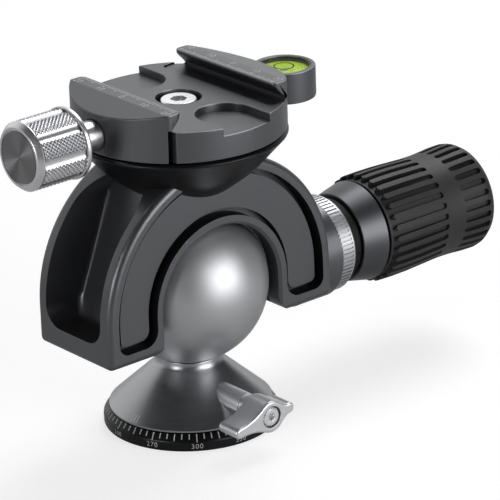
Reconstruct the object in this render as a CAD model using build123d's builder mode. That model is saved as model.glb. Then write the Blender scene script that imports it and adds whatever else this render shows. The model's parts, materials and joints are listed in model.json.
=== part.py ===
"""Tripod ball head with a fixed ball, a C-shaped saddle, a dovetail clamp and a side grip.

Units are millimetres. +Z is up, +X runs along the side grip, and the origin is the mouth of
the tripod thread in the middle of the base. Each piece is made where it sits in the head.
"""

import os
from math import cos, radians, sin, sqrt

from build123d import *

os.makedirs("parts", exist_ok=True)

# Foot: degree ring, plate, rubber pad and pan axle
RING_RADIUS = 25.0
RING_BAND_TOP = 3.2
RING_TOP_RADIUS = 23.4
RING_TOP = 5.2
PLATE_RADIUS = 22.0
PLATE_TOP = 5.0
PAD_THICKNESS = 1.0
PAD_HOLE_RADIUS = 9.4
THREAD_RADIUS = 3.97
THREAD_LENGTH = 8.5
INSERT_RADIUS = 5.3
INSERT_FLANGE_RADIUS = 7.6
INSERT_FLANGE = 1.2
SHAFT_RADIUS = 6.25
SHAFT_FLANGE_RADIUS = 11.5
SHAFT_FLANGE_TOP = 6.0
LEDGE_Z = 14.2
STUB_RADIUS = 4.5
STUB_TOP = 17.4
NUT_CORNER_RADIUS = 7.5
GLIDE_TOP = 6.4

# Cone
CONE_RADIUS = 23.3
CONE_BOTTOM = 5.5
CONE_LIP = 5.95
NECK_FILLET_START = (10.2, 17.8)
NECK_RADIUS = 9.2
CONE_TOP = 20.35
CHAMBER_RADIUS = 7.8

# Pan lock lever
LEVER_X = 0.3
LEVER_Z = 11.2
LEVER_FACE = -35.6
LEVER_BACK = -27.4
LEVER_HUB_RADIUS = 4.7
LEVER_TIP_RADIUS = 1.6
LEVER_LEFT_TIP = (-11.3, -1.6)
LEVER_RIGHT_TIP = (6.6, 0.7)
BOSS_RADIUS = 3.6
LEVER_STUD_RADIUS = 2.0
LEVER_SCREW_RADIUS = 1.25
LEVER_HEAD_RADIUS = 2.8
SHOE_RADIUS = 2.55
SHOE_BACK = -9.8

# Ball
BALL_RADIUS = 23.3
BALL_Z = 42.0
BALL_FLAT = 20.65
BALL_STUD_RADIUS = 4.0
BALL_STUD_TOP = 38.0

# Saddle
SADDLE_RADIUS = 40.2
ARCH_RADIUS = 20.8
FOOT_Z = 30.7
SADDLE_HALF = 16.4
EDGE_ROUND = 2.0
ARCH_CHAMFER = 0.8
RECESS_OUTER = 36.9
RECESS_INNER = 23.4
RECESS_FOOT = 34.4
GROOVE_WIDTH = 1.8
PANEL_DEPTH = 1.8
GROOVE_DEPTH = 3.0
LIP_Y = -11.0
BORE_RADIUS = 24.4
RETAINER_RADIUS = 29.4
RETAINER_Y = 13.0
REAR_RECESS_INNER = 31.2
REAR_RECESS_DEPTH = 1.0
RETAINER_SCREW_CIRCLE = 26.9
RETAINER_SCREW_ANGLES = (-105.0, -30.0, 30.0, 105.0)
RETAINER_SCREW_RADIUS = 1.25
RETAINER_HEAD_RADIUS = 2.25
RETAINER_HEAD_Y = 13.9
RETAINER_SCREW_TIP = 9.0
RETAINER_HEAD_DEPTH = 2.2
HEX_SMALL = 1.15
HEX_LARGE = 2.9
POCKET_BOTTOM = 37.0
POCKET_TOP = 78.0
POCKET_HALF = 12.2
POCKET_FLOOR_DISTANCE = 26.0
POCKET_NORMAL = (-0.926, 0.0, 0.378)

# Sliding seats
SEAT_OUTER = 24.3
SEAT_INNER = 23.4
SEAT_INSIDE_Y = 7.2
SEAT_HALF_ANGLE = 80.0

# Grip axis and lock
GRIP_Z = 39.4
BOSS_X = 45.8
GRIP_BOSS_RADIUS = 15.0
CUP_RADIUS = 6.5
CUP_BORE = 6.6
CUP_BACKLASH = 0.5
CUP_END = 29.4
PUSHER_HEAD_END = 34.4
PUSHER_STEM_RADIUS = 3.2
PUSHER_END = 39.6
KEY_X = 32.0
KEY_RADIUS = 1.0
SLEEVE_START = 40.0
SLEEVE_RADIUS = 10.4
SLEEVE_FLANGE_START = 52.1
SLEEVE_FLANGE_RADIUS = 12.2
SLEEVE_END = 55.2
GRUB_X = 43.0
GRUB_RADIUS = 1.25
GRUB_BOTTOM = 9.4
GRUB_TOP = 14.4
GRUB_TURNS = (0, 120, 240)
SPINDLE_RADIUS = 4.0
SPINDLE_START = 39.9
SPINDLE_END = 104.0
TENSION_START = 46.15
TENSION_END = 52.05
TENSION_RADIUS = 14.4
TENSION_RIDGES = 60
COLLAR_START = 55.5
COLLAR_END = 63.8
COLLAR_START_RADIUS = 13.2
COLLAR_END_RADIUS = 15.0
CORE_RADIUS = 11.5
RUBBER_START = 64.8
RUBBER_END = 106.3
RUBBER_RADIUS = 16.2
RUBBER_WAIST_RADIUS = 15.7
RUBBER_WAIST_X = 90.0
GROOVE_COUNT = 27
GROOVE_CUT_RADIUS = 0.75
LONG_GROOVE = (66.4, 86.8)
SHORT_GROOVE = (93.5, 103.8)

GROOVE_PHASE = 3.3
END_CAP_RADIUS = 10.6
END_SCREW_RADIUS = 2.0
END_HEAD_RADIUS = 3.6
END_SCREW_TIP = 96.0
WASHER_RADIUS = 9.0
DISC_COUNT = 4
DISC_PITCH = 1.3
DISC_CONE = 0.7
DISC_THICKNESS = 0.5

# Neck platform under the clamp
PLATFORM_OUTLINE = (
    (0.0, 71.6),
    (14.5, 71.6),
    (20.0, 75.8),
    (23.4, 79.0),
    (30.2, 86.5),
    (30.2, 87.0),
    (29.6, 87.6),
    (26.0, 87.6),
    (26.0, 88.0),
    (0.0, 88.0),
)

# Clamp
CLAMP_RADIUS = 30.0
CLAMP_BOTTOM = 88.0
DECK_Z = 96.8
POCKET_FLOOR_Z = 95.3
RELIEF_Z = 96.3
RELIEF_X = 13.2
RELIEF_HALF = 23.8
BODY_EDGE_X = -19.4
JAW_FACE_X = -20.95
JAW_LIP_X = 16.2
JAW_FLAT_X = 21.2
JAW_ROOT_X = 19.9
JAW_TOP = 101.7
JAW_LIP_Z = 100.9
JAW_ROOT_Z = 97.2
JAW_RIM_Z = 99.3
JAW_HALF = 21.8
DECK_POCKET_RADIUS = 8.2
DECK_POCKET_X = 0.5
DECK_POCKET_Y = 19.4
COUNTERBORE_RADIUS = 6.4
MOUNT_HEAD_RADIUS = 5.15
MOUNT_HEAD_BOTTOM = 93.3
MOUNT_HEAD_TOP = 96.3
MOUNT_SHANK_RADIUS = 3.0
MOUNT_TIP = 67.6
PIN_RADIUS = 1.5
PIN_X = 10.0
PIN_BOTTOM = 68.6
PIN_TOP = 90.0

# Clamp knob, its screw, guide pins and springs
KNOB_Z = 93.3
KNOB_RADIUS = 9.9
KNOB_END = -55.4
KNOB_START = -53.6
KNOB_FLANGE_START = -39.5
KNOB_FLANGE_RADIUS = 10.2
KNOB_FACE = -37.8
KNOB_NECK_RADIUS = 4.3
SPOTFACE_X = -28.4
SPOTFACE_RADIUS = 7.0
SCALLOP_COUNT = 8
SCALLOP_PHASE = -2.0
SCALLOP_RADIUS = 2.0
SCALLOP_CENTRE = 11.2
CLAMP_SCREW_RADIUS = 2.5
CLAMP_SCREW_START = -50.0
CLAMP_SCREW_TIP = -8.5
CLAMP_BORE_END = -7.0
THRUST_RING_RADIUS = 4.0
GUIDE_Y = 15.0
GUIDE_Z = 91.5
GUIDE_RADIUS = 1.5
GUIDE_START = -24.5
GUIDE_TIP = -12.0
GUIDE_BORE_END = -10.3
SPRING_POCKET_RADIUS = 2.6
SPRING_POCKET_END = -14.5
JAW_DISC_COUNT = 6
JAW_DISC_PITCH = 1.04
JAW_DISC_CONE = 0.7
JAW_DISC_THICKNESS = 0.3
JAW_DISC_INNER = 1.65
JAW_DISC_OUTER = 2.45

# Bubble level
LEVEL_X = 38.3
LEVEL_RADIUS = 9.0
LEVEL_BOTTOM = 87.7
LEVEL_BORE_RADIUS = 7.6
LEVEL_WINDOW_RADIUS = 7.15
LEVEL_FLOOR = 89.2
FLUID_BOTTOM = 90.0
LENS_BOTTOM = 95.3
LENS_TOP = 96.3
BUBBLE_RADIUS = 1.5
BUBBLE_HEIGHT = 0.7

RUNNING_FIT = 0.05
GRIP_AXIS = Axis((0, 0, GRIP_Z), (1, 0, 0))
KNOB_AXIS = Axis((0, 0, KNOB_Z), (1, 0, 0))
LEVER_AXIS = Axis((LEVER_X, 0, LEVER_Z), (0, 1, 0))


def face_on(plane, points):
    """Return the face inside a closed outline drawn on a plane."""
    with BuildSketch(plane) as face:
        with BuildLine():
            Polyline(*points, close=True)
        make_face()
    return face.sketch


def turned_z(points):
    """Return the (radius, height) outline of a piece turned about the Z axis."""
    return face_on(Plane.XZ, points)


def turned_x(points, axis_z):
    """Return the outline of a piece turned about an axis along X at one height."""
    return face_on(Plane.XZ, [(x, axis_z + radius) for x, radius in points])


def turned_y(points, axis_x, axis_z):
    """Return the outline of a piece turned about an axis along Y."""
    return face_on(Plane.YZ.offset(axis_x), [(y, axis_z + radius) for y, radius in points])


def band(start, end, inner, outer):
    """Return the four corners of a plain ring's section."""
    return [(start, inner), (end, inner), (end, outer), (start, outer)]


def across(y):
    """Return the plane that faces -Y at one place along Y."""
    return Plane.XZ.offset(-y)


def arch_face(y, outer, inner, foot, outer_corner, inner_corner):
    """Return the C-shaped outline over the ball, with straight legs down to the foot."""
    with BuildSketch(across(y)) as face:
        with Locations((0, BALL_Z)):
            Circle(outer)
        with Locations((0, (BALL_Z + foot) / 2)):
            Rectangle(2 * outer, BALL_Z - foot)
        with Locations((0, foot - outer)):
            Rectangle(4 * outer, 2 * outer, mode=Mode.SUBTRACT)
        with Locations((0, BALL_Z)):
            Circle(inner, mode=Mode.SUBTRACT)
        with Locations((0, (BALL_Z + foot) / 2 - inner)):
            Rectangle(2 * inner, BALL_Z - foot + 2 * inner, mode=Mode.SUBTRACT)
        corners = face.vertices().group_by(Axis.Y)[0].sort_by(Axis.X)
        fillet([corners[0], corners[-1]], outer_corner)
        fillet([corners[1], corners[-2]], inner_corner)
    return face.sketch


def radial_plane(turn):
    """Return a plane on the grip's axis that faces out of the boss, turned from straight down."""
    outward = (0, sin(radians(turn)), -cos(radians(turn)))
    return Plane((GRUB_X, 0, GRIP_Z), x_dir=(1, 0, 0), z_dir=outward)


def polar_xz(radius, angle):
    """Return x and z of a point around the ball, with the angle counted from the top."""
    return radius * sin(radians(angle)), BALL_Z + radius * cos(radians(angle))


# ---------------------------------------------------------------- foot

with BuildPart() as degree_ring:
    revolve(
        turned_z(
            [
                (PLATE_RADIUS, 0.4),
                (RING_RADIUS, 0.4),
                (RING_RADIUS, RING_BAND_TOP),
                (RING_TOP_RADIUS, RING_TOP),
                (PLATE_RADIUS, RING_TOP),
            ]
        ),
        axis=Axis.Z,
    )
degree_ring.part.label = "degree_ring"
export_step(degree_ring.part, "parts/degree_ring.step")

with BuildPart() as base_pad:
    with BuildSketch(Plane.XY):
        Circle(PLATE_RADIUS - 0.4)
        Circle(PAD_HOLE_RADIUS, mode=Mode.SUBTRACT)
    extrude(amount=PAD_THICKNESS)
base_pad.part.label = "base_pad"
export_step(base_pad.part, "parts/base_pad.step")

with BuildPart() as foot_plate:
    with BuildSketch(Plane.XY.offset(PAD_THICKNESS)):
        Circle(PLATE_RADIUS)
        Circle(PAD_HOLE_RADIUS - 0.4, mode=Mode.SUBTRACT)
    extrude(amount=PLATE_TOP - PAD_THICKNESS)
foot_plate.part.label = "foot_plate"
export_step(foot_plate.part, "parts/foot_plate.step")

with BuildPart() as thread_insert:
    revolve(
        turned_z(
            [
                (THREAD_RADIUS, 0),
                (INSERT_FLANGE_RADIUS, 0),
                (INSERT_FLANGE_RADIUS, INSERT_FLANGE),
                (INSERT_RADIUS, INSERT_FLANGE),
                (INSERT_RADIUS, THREAD_LENGTH),
                (THREAD_RADIUS, THREAD_LENGTH),
            ]
        ),
        axis=Axis.Z,
    )
thread_insert.part.label = "thread_insert"
export_step(thread_insert.part, "parts/thread_insert.step")

with BuildPart() as pan_shaft:
    revolve(
        turned_z(
            [
                (INSERT_RADIUS, INSERT_FLANGE),
                (PAD_HOLE_RADIUS - 0.4, INSERT_FLANGE),
                (PAD_HOLE_RADIUS - 0.4, PLATE_TOP),
                (SHAFT_FLANGE_RADIUS, PLATE_TOP),
                (SHAFT_FLANGE_RADIUS, SHAFT_FLANGE_TOP),
                (SHAFT_RADIUS, SHAFT_FLANGE_TOP),
                (SHAFT_RADIUS, LEDGE_Z),
                (STUB_RADIUS, LEDGE_Z),
                (STUB_RADIUS, STUB_TOP),
                (0, STUB_TOP),
                (0, THREAD_LENGTH),
                (INSERT_RADIUS, THREAD_LENGTH),
            ]
        ),
        axis=Axis.Z,
    )
pan_shaft.part.label = "pan_shaft"
export_step(pan_shaft.part, "parts/pan_shaft.step")

with BuildPart() as pan_washer:
    with BuildSketch(Plane.XY.offset(PLATE_TOP)):
        Circle(CONE_RADIUS - 3.6)
        Circle(SHAFT_FLANGE_RADIUS + 0.3, mode=Mode.SUBTRACT)
    extrude(amount=GLIDE_TOP - PLATE_TOP)
pan_washer.part.label = "pan_washer"
export_step(pan_washer.part, "parts/pan_washer.step")

with BuildPart() as pan_nut:
    with BuildSketch(Plane.XY.offset(LEDGE_Z + RUNNING_FIT)):
        RegularPolygon(radius=NUT_CORNER_RADIUS, side_count=6)
        Circle(STUB_RADIUS, mode=Mode.SUBTRACT)
    extrude(amount=STUB_TOP - LEDGE_Z - 0.2)
pan_nut.part.label = "pan_nut"
export_step(pan_nut.part, "parts/pan_nut.step")

# ---------------------------------------------------------------- cone and pan lock

with BuildPart() as cone_housing:
    with BuildSketch(Plane.XZ):
        with BuildLine():
            Polyline(
                NECK_FILLET_START,
                (CONE_RADIUS, CONE_LIP),
                (CONE_RADIUS, CONE_BOTTOM),
                (CONE_RADIUS - 3.3, CONE_BOTTOM),
                (CONE_RADIUS - 3.3, GLIDE_TOP + RUNNING_FIT),
                (SHAFT_RADIUS + RUNNING_FIT, GLIDE_TOP + RUNNING_FIT),
                (SHAFT_RADIUS + RUNNING_FIT, LEDGE_Z),
                (CHAMBER_RADIUS, LEDGE_Z),
                (CHAMBER_RADIUS, CONE_TOP),
                (NECK_RADIUS, CONE_TOP),
            )
            ThreePointArc((NECK_RADIUS, CONE_TOP), (9.35, 19.0), NECK_FILLET_START)
        make_face()
    revolve(axis=Axis.Z)
    with BuildSketch(across(-12.0)):
        with Locations((LEVER_X, LEVER_Z)):
            Circle(BOSS_RADIUS)
    extrude(amount=CONE_RADIUS, mode=Mode.SUBTRACT)
    with BuildSketch(across(-5.0)):
        with Locations((LEVER_X, LEVER_Z)):
            Circle(SHOE_RADIUS + RUNNING_FIT)
    extrude(amount=8.0, mode=Mode.SUBTRACT)
cone_housing.part.label = "cone_housing"
export_step(cone_housing.part, "parts/cone_housing.step")

with BuildPart() as lever_boss:
    revolve(
        turned_y(
            [
                (-12.0, LEVER_STUD_RADIUS + RUNNING_FIT),
                (-12.0, BOSS_RADIUS),
                (-24.6, BOSS_RADIUS),
                (-24.6, BOSS_RADIUS - 0.6),
                (-25.4, BOSS_RADIUS - 0.6),
                (-25.4, BOSS_RADIUS - 0.2),
                (-27.0, BOSS_RADIUS - 0.2),
                (-27.0, LEVER_STUD_RADIUS + RUNNING_FIT),
            ],
            LEVER_X,
            LEVER_Z,
        ),
        axis=LEVER_AXIS,
    )
lever_boss.part.label = "lever_boss"
export_step(lever_boss.part, "parts/lever_boss.step")

with BuildPart() as brake_shoe:
    with BuildSketch(across(-5.0)):
        with Locations((LEVER_X, LEVER_Z)):
            Circle(SHOE_RADIUS)
    extrude(amount=-SHOE_BACK - 5.0)
    Cylinder(SHAFT_RADIUS + 0.3, 60, mode=Mode.SUBTRACT)
brake_shoe.part.label = "brake_shoe"
export_step(brake_shoe.part, "parts/brake_shoe.step")

with BuildPart() as lever_stud:
    revolve(
        turned_y(
            [
                (SHOE_BACK - 0.3, 0),
                (SHOE_BACK - 0.3, LEVER_STUD_RADIUS),
                (-30.8, LEVER_STUD_RADIUS),
                (-30.8, LEVER_SCREW_RADIUS),
                (-24.0, LEVER_SCREW_RADIUS),
                (-24.0, 0),
            ],
            LEVER_X,
            LEVER_Z,
        ),
        axis=LEVER_AXIS,
    )
lever_stud.part.label = "lever_stud"
export_step(lever_stud.part, "parts/lever_stud.step")

with BuildPart() as pan_lever:
    for tip in (LEVER_LEFT_TIP, LEVER_RIGHT_TIP):
        with BuildSketch(across(LEVER_BACK)) as wing:
            with Locations((LEVER_X, LEVER_Z)):
                Circle(LEVER_HUB_RADIUS)
            with Locations((LEVER_X + tip[0], LEVER_Z + tip[1])):
                Circle(LEVER_TIP_RADIUS)
            make_hull()
        extrude(amount=LEVER_BACK - LEVER_FACE)
    fillet(pan_lever.edges().group_by(Axis.Y)[0], 0.5)
    fillet(pan_lever.edges().group_by(Axis.Y)[-1], 0.5)
    with BuildSketch(across(LEVER_BACK)):
        with Locations((LEVER_X, LEVER_Z)):
            Circle(LEVER_STUD_RADIUS)
    extrude(amount=LEVER_BACK + 30.8, mode=Mode.SUBTRACT)
    with BuildSketch(across(-30.0)):
        with Locations((LEVER_X, LEVER_Z)):
            Circle(LEVER_SCREW_RADIUS)
    extrude(amount=10.0, mode=Mode.SUBTRACT)
    with BuildSketch(across(-32.6)):
        with Locations((LEVER_X, LEVER_Z)):
            Circle(LEVER_HEAD_RADIUS + 0.4)
    extrude(amount=10.0, mode=Mode.SUBTRACT)
pan_lever.part.label = "pan_lever"
export_step(pan_lever.part, "parts/pan_lever.step")

with BuildPart() as lever_screw:
    with BuildSketch(across(-32.6)):
        with Locations((LEVER_X, LEVER_Z)):
            Circle(LEVER_HEAD_RADIUS)
    extrude(amount=2.8)
    chamfer(lever_screw.edges().group_by(Axis.Y)[0], 0.3)
    with BuildSketch(across(-24.5)):
        with Locations((LEVER_X, LEVER_Z)):
            Circle(LEVER_SCREW_RADIUS)
    extrude(amount=8.5)
    with BuildSketch(across(-33.8)):
        with Locations((LEVER_X, LEVER_Z)):
            RegularPolygon(radius=1.45, side_count=6)
    extrude(amount=4.0, mode=Mode.SUBTRACT)
lever_screw.part.label = "lever_screw"
export_step(lever_screw.part, "parts/lever_screw.step")

# ---------------------------------------------------------------- ball

with BuildPart() as ball_stud:
    revolve(
        turned_z(
            [
                (0, STUB_TOP + 0.3),
                (CHAMBER_RADIUS, STUB_TOP + 0.3),
                (CHAMBER_RADIUS, CONE_TOP),
                (BALL_STUD_RADIUS, CONE_TOP),
                (BALL_STUD_RADIUS, BALL_STUD_TOP),
                (0, BALL_STUD_TOP),
            ]
        ),
        axis=Axis.Z,
    )
ball_stud.part.label = "ball_stud"
export_step(ball_stud.part, "parts/ball_stud.step")

with BuildPart() as ball:
    with Locations((0, 0, BALL_Z)):
        Sphere(BALL_RADIUS)
    split(bisect_by=Plane.XY.offset(BALL_FLAT), keep=Keep.TOP)
    with BuildSketch(Plane.XY.offset(BALL_FLAT - 1)):
        Circle(BALL_STUD_RADIUS + RUNNING_FIT)
    extrude(amount=BALL_STUD_TOP - BALL_FLAT + 1.3, mode=Mode.SUBTRACT)
ball.part.label = "ball"
export_step(ball.part, "parts/ball.step")

# ---------------------------------------------------------------- saddle

with BuildPart() as side_pocket:
    with BuildSketch(Plane.YZ.offset(-SADDLE_RADIUS - 5)) as pocket_face:
        with Locations((0, (POCKET_BOTTOM + POCKET_TOP) / 2)):
            Rectangle(2 * POCKET_HALF, POCKET_TOP - POCKET_BOTTOM)
        fillet(pocket_face.vertices().group_by(Axis.Y)[0], 6.0)
        fillet(pocket_face.vertices().group_by(Axis.Y)[-1], 8.0)
    extrude(amount=SADDLE_RADIUS)
    pocket_normal = Vector(*POCKET_NORMAL)
    floor_point = Vector(0, 0, BALL_Z) + pocket_normal * POCKET_FLOOR_DISTANCE
    split(bisect_by=Plane(origin=floor_point, z_dir=pocket_normal), keep=Keep.TOP)

with BuildPart() as saddle_frame:
    extrude(
        arch_face(-SADDLE_HALF, SADDLE_RADIUS, ARCH_RADIUS, FOOT_Z, 1.5, 2.5),
        amount=2 * SADDLE_HALF,
        dir=(0, 1, 0),
    )
    for side in (-SADDLE_HALF, SADDLE_HALF):
        rim_edges = saddle_frame.edges().filter_by_position(Axis.Y, side - 0.01, side + 0.01)
        outer_edges = [
            edge
            for edge in rim_edges
            if abs((edge @ 0.5).X) > SADDLE_RADIUS - 2.0 or (edge @ 0.5).Z > BALL_Z + ARCH_RADIUS + 1.0
        ]
        fillet(outer_edges, EDGE_ROUND)
    front_edges = saddle_frame.edges().filter_by_position(
        Axis.Y, -SADDLE_HALF - 0.01, -SADDLE_HALF + 0.01
    )
    inner_edges = [
        edge
        for edge in front_edges
        if (edge @ 0.5).Z > FOOT_Z + 0.1
        and sqrt((edge @ 0.5).X ** 2 + ((edge @ 0.5).Z - BALL_Z) ** 2) < ARCH_RADIUS + 4.5
    ]
    chamfer(inner_edges, ARCH_CHAMFER)
    # boss for the side grip
    with BuildSketch(Plane.YZ.offset(SADDLE_RADIUS - 6)):
        with Locations((0, GRIP_Z)):
            Circle(GRIP_BOSS_RADIUS)
    extrude(amount=BOSS_X - SADDLE_RADIUS + 6)
    # sunk panel with a deeper groove around it on the front
    extrude(
        arch_face(-SADDLE_HALF, RECESS_OUTER, RECESS_INNER, RECESS_FOOT, 3.6, 3.6),
        amount=GROOVE_DEPTH,
        dir=(0, 1, 0),
        mode=Mode.SUBTRACT,
    )
    extrude(
        arch_face(
            -SADDLE_HALF + PANEL_DEPTH,
            RECESS_OUTER - GROOVE_WIDTH,
            RECESS_INNER + GROOVE_WIDTH,
            RECESS_FOOT + GROOVE_WIDTH,
            2.4,
            2.4,
        ),
        amount=GROOVE_DEPTH - PANEL_DEPTH,
        dir=(0, 1, 0),
    )
    # plain sunk panel on the back
    extrude(
        arch_face(SADDLE_HALF, RECESS_OUTER, REAR_RECESS_INNER, RECESS_FOOT, 2.0, 2.0),
        amount=REAR_RECESS_DEPTH,
        dir=(0, -1, 0),
        mode=Mode.SUBTRACT,
    )
    # bore for the ball and its seats, open to the back
    with BuildSketch(across(LIP_Y)):
        with Locations((0, BALL_Z)):
            Circle(BORE_RADIUS)
    extrude(amount=2 * SADDLE_HALF, dir=(0, 1, 0), mode=Mode.SUBTRACT)
    extrude(
        arch_face(RETAINER_Y, RETAINER_RADIUS, 1.0, FOOT_Z - 1.0, 0.1, 0.1),
        amount=SADDLE_HALF,
        dir=(0, 1, 0),
        mode=Mode.SUBTRACT,
    )
    for angle in RETAINER_SCREW_ANGLES:
        with BuildSketch(across(RETAINER_SCREW_TIP)):
            with Locations(polar_xz(RETAINER_SCREW_CIRCLE, angle)):
                Circle(RETAINER_SCREW_RADIUS)
        extrude(amount=SADDLE_HALF, dir=(0, 1, 0), mode=Mode.SUBTRACT)
    # deep pocket in the outer side and the seat of the neck platform
    add(side_pocket.part, mode=Mode.SUBTRACT)
    revolve(turned_z(PLATFORM_OUTLINE), axis=Axis.Z, mode=Mode.SUBTRACT)
    # bores for the lock, its key and the sleeve
    with BuildSketch(Plane.YZ.offset(ARCH_RADIUS - 5)):
        with Locations((0, GRIP_Z)):
            Circle(CUP_BORE)
    extrude(amount=BOSS_X, mode=Mode.SUBTRACT)
    with BuildSketch(Plane.YZ.offset(SLEEVE_START)):
        with Locations((0, GRIP_Z)):
            Circle(SLEEVE_RADIUS)
    extrude(amount=BOSS_X, mode=Mode.SUBTRACT)
    with BuildSketch(Plane.XY.offset(FOOT_Z - 1)):
        with Locations((KEY_X, 0)):
            Circle(KEY_RADIUS)
    extrude(amount=4.0, mode=Mode.SUBTRACT)
    for turn in GRUB_TURNS:
        with BuildSketch(radial_plane(turn)):
            Circle(GRUB_RADIUS)
        extrude(amount=GRIP_BOSS_RADIUS + 1, mode=Mode.SUBTRACT)
    # holes for the mounting screw and the two pins
    with BuildSketch(Plane.XY.offset(MOUNT_TIP)):
        Circle(MOUNT_SHANK_RADIUS)
    extrude(amount=8.0, mode=Mode.SUBTRACT)
    with BuildSketch(Plane.XY.offset(PIN_BOTTOM)):
        with Locations((-PIN_X, 0), (PIN_X, 0)):
            Circle(PIN_RADIUS)
    extrude(amount=6.0, mode=Mode.SUBTRACT)
saddle_frame.part.label = "saddle_frame"
export_step(saddle_frame.part, "parts/saddle_frame.step")

with BuildPart() as seat_retainer:
    extrude(
        arch_face(RETAINER_Y, RETAINER_RADIUS, ARCH_RADIUS, FOOT_Z, 0.1, 2.5),
        amount=SADDLE_HALF - RETAINER_Y,
        dir=(0, 1, 0),
    )
    for angle in RETAINER_SCREW_ANGLES:
        with BuildSketch(across(RETAINER_Y - 1)):
            with Locations(polar_xz(RETAINER_SCREW_CIRCLE, angle)):
                Circle(RETAINER_SCREW_RADIUS)
        extrude(amount=SADDLE_HALF, dir=(0, 1, 0), mode=Mode.SUBTRACT)
        with BuildSketch(across(RETAINER_HEAD_Y)):
            with Locations(polar_xz(RETAINER_SCREW_CIRCLE, angle)):
                Circle(RETAINER_HEAD_RADIUS)
        extrude(amount=SADDLE_HALF, dir=(0, 1, 0), mode=Mode.SUBTRACT)
seat_retainer.part.label = "seat_retainer"
export_step(seat_retainer.part, "parts/seat_retainer.step")

with BuildPart() as retainer_screws:
    for angle in RETAINER_SCREW_ANGLES:
        with BuildSketch(across(RETAINER_SCREW_TIP)):
            with Locations(polar_xz(RETAINER_SCREW_CIRCLE, angle)):
                Circle(RETAINER_SCREW_RADIUS)
        extrude(amount=RETAINER_HEAD_Y - RETAINER_SCREW_TIP, dir=(0, 1, 0))
        with BuildSketch(across(RETAINER_HEAD_Y)):
            with Locations(polar_xz(RETAINER_SCREW_CIRCLE, angle)):
                Circle(RETAINER_HEAD_RADIUS)
                RegularPolygon(radius=HEX_SMALL, side_count=6, mode=Mode.SUBTRACT)
        extrude(amount=RETAINER_HEAD_DEPTH, dir=(0, 1, 0))
retainer_screws.part.label = "retainer_screws"
export_step(retainer_screws.part, "parts/retainer_screws.step")


def seat_face(start, end):
    """Return the section of a sliding seat between two places along Y, at its first end."""
    lean = radians(-SEAT_HALF_ANGLE)
    section = Plane((0, 0, BALL_Z), x_dir=(0, 1, 0), z_dir=(cos(lean), 0, -sin(lean)))
    middle = (start + end) / 2
    inner = [(y, sqrt(SEAT_INNER**2 - y**2)) for y in (start, middle, end)]
    with BuildSketch(section) as face:
        with BuildLine():
            ThreePointArc(*inner)
            Polyline(inner[-1], (end, SEAT_OUTER), (start, SEAT_OUTER), inner[0])
        make_face()
    return face.sketch


BALL_Y_AXIS = Axis((0, 0, BALL_Z), (0, 1, 0))

with BuildPart() as front_liner:
    revolve(seat_face(LIP_Y, -SEAT_INSIDE_Y), axis=BALL_Y_AXIS, revolution_arc=2 * SEAT_HALF_ANGLE)
front_liner.part.label = "front_liner"
export_step(front_liner.part, "parts/front_liner.step")

with BuildPart() as rear_liner:
    revolve(
        seat_face(SEAT_INSIDE_Y, RETAINER_Y - RUNNING_FIT),
        axis=BALL_Y_AXIS,
        revolution_arc=2 * SEAT_HALF_ANGLE,
    )
rear_liner.part.label = "rear_liner"
export_step(rear_liner.part, "parts/rear_liner.step")

# ---------------------------------------------------------------- lock on the grip's axis

with BuildPart() as pressure_pad:
    revolve(turned_x(band(ARCH_RADIUS - 2, CUP_END, 0, CUP_RADIUS), GRIP_Z), axis=GRIP_AXIS)
    with Locations((CUP_BACKLASH, 0, BALL_Z)):
        Sphere(SEAT_INNER, mode=Mode.SUBTRACT)
pressure_pad.part.label = "pressure_pad"
export_step(pressure_pad.part, "parts/pressure_pad.step")

with BuildPart() as pusher:
    revolve(
        turned_x(
            [
                (CUP_END, 0),
                (CUP_END, CUP_RADIUS),
                (PUSHER_HEAD_END, CUP_RADIUS),
                (PUSHER_HEAD_END, PUSHER_STEM_RADIUS),
                (PUSHER_END, PUSHER_STEM_RADIUS),
                (PUSHER_END, 0),
            ],
            GRIP_Z,
        ),
        axis=GRIP_AXIS,
    )
    with Locations(((CUP_END + PUSHER_HEAD_END) / 2, 0, GRIP_Z - CUP_RADIUS)):
        Box(PUSHER_HEAD_END - CUP_END, 2 * KEY_RADIUS + 0.3, 3.4, mode=Mode.SUBTRACT)
pusher.part.label = "pusher"
export_step(pusher.part, "parts/pusher.step")

with BuildPart() as key_pin:
    with BuildSketch(Plane.XY.offset(FOOT_Z + 0.3)):
        with Locations((KEY_X, 0)):
            Circle(KEY_RADIUS)
    extrude(amount=3.2)
key_pin.part.label = "key_pin"
export_step(key_pin.part, "parts/key_pin.step")

with BuildPart() as friction_springs:
    for index in range(DISC_COUNT):
        start = PUSHER_HEAD_END + 0.1 + DISC_PITCH * index
        rise = (0.0, DISC_CONE) if index % 2 == 0 else (DISC_CONE, 0.0)
        revolve(
            turned_x(
                [
                    (start + rise[0], PUSHER_STEM_RADIUS + 0.3),
                    (start + rise[1], CUP_RADIUS - 0.3),
                    (start + rise[1] + DISC_THICKNESS, CUP_RADIUS - 0.3),
                    (start + rise[0] + DISC_THICKNESS, PUSHER_STEM_RADIUS + 0.3),
                ],
                GRIP_Z,
            ),
            axis=GRIP_AXIS,
        )
friction_springs.part.label = "friction_springs"
export_step(friction_springs.part, "parts/friction_springs.step")

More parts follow.
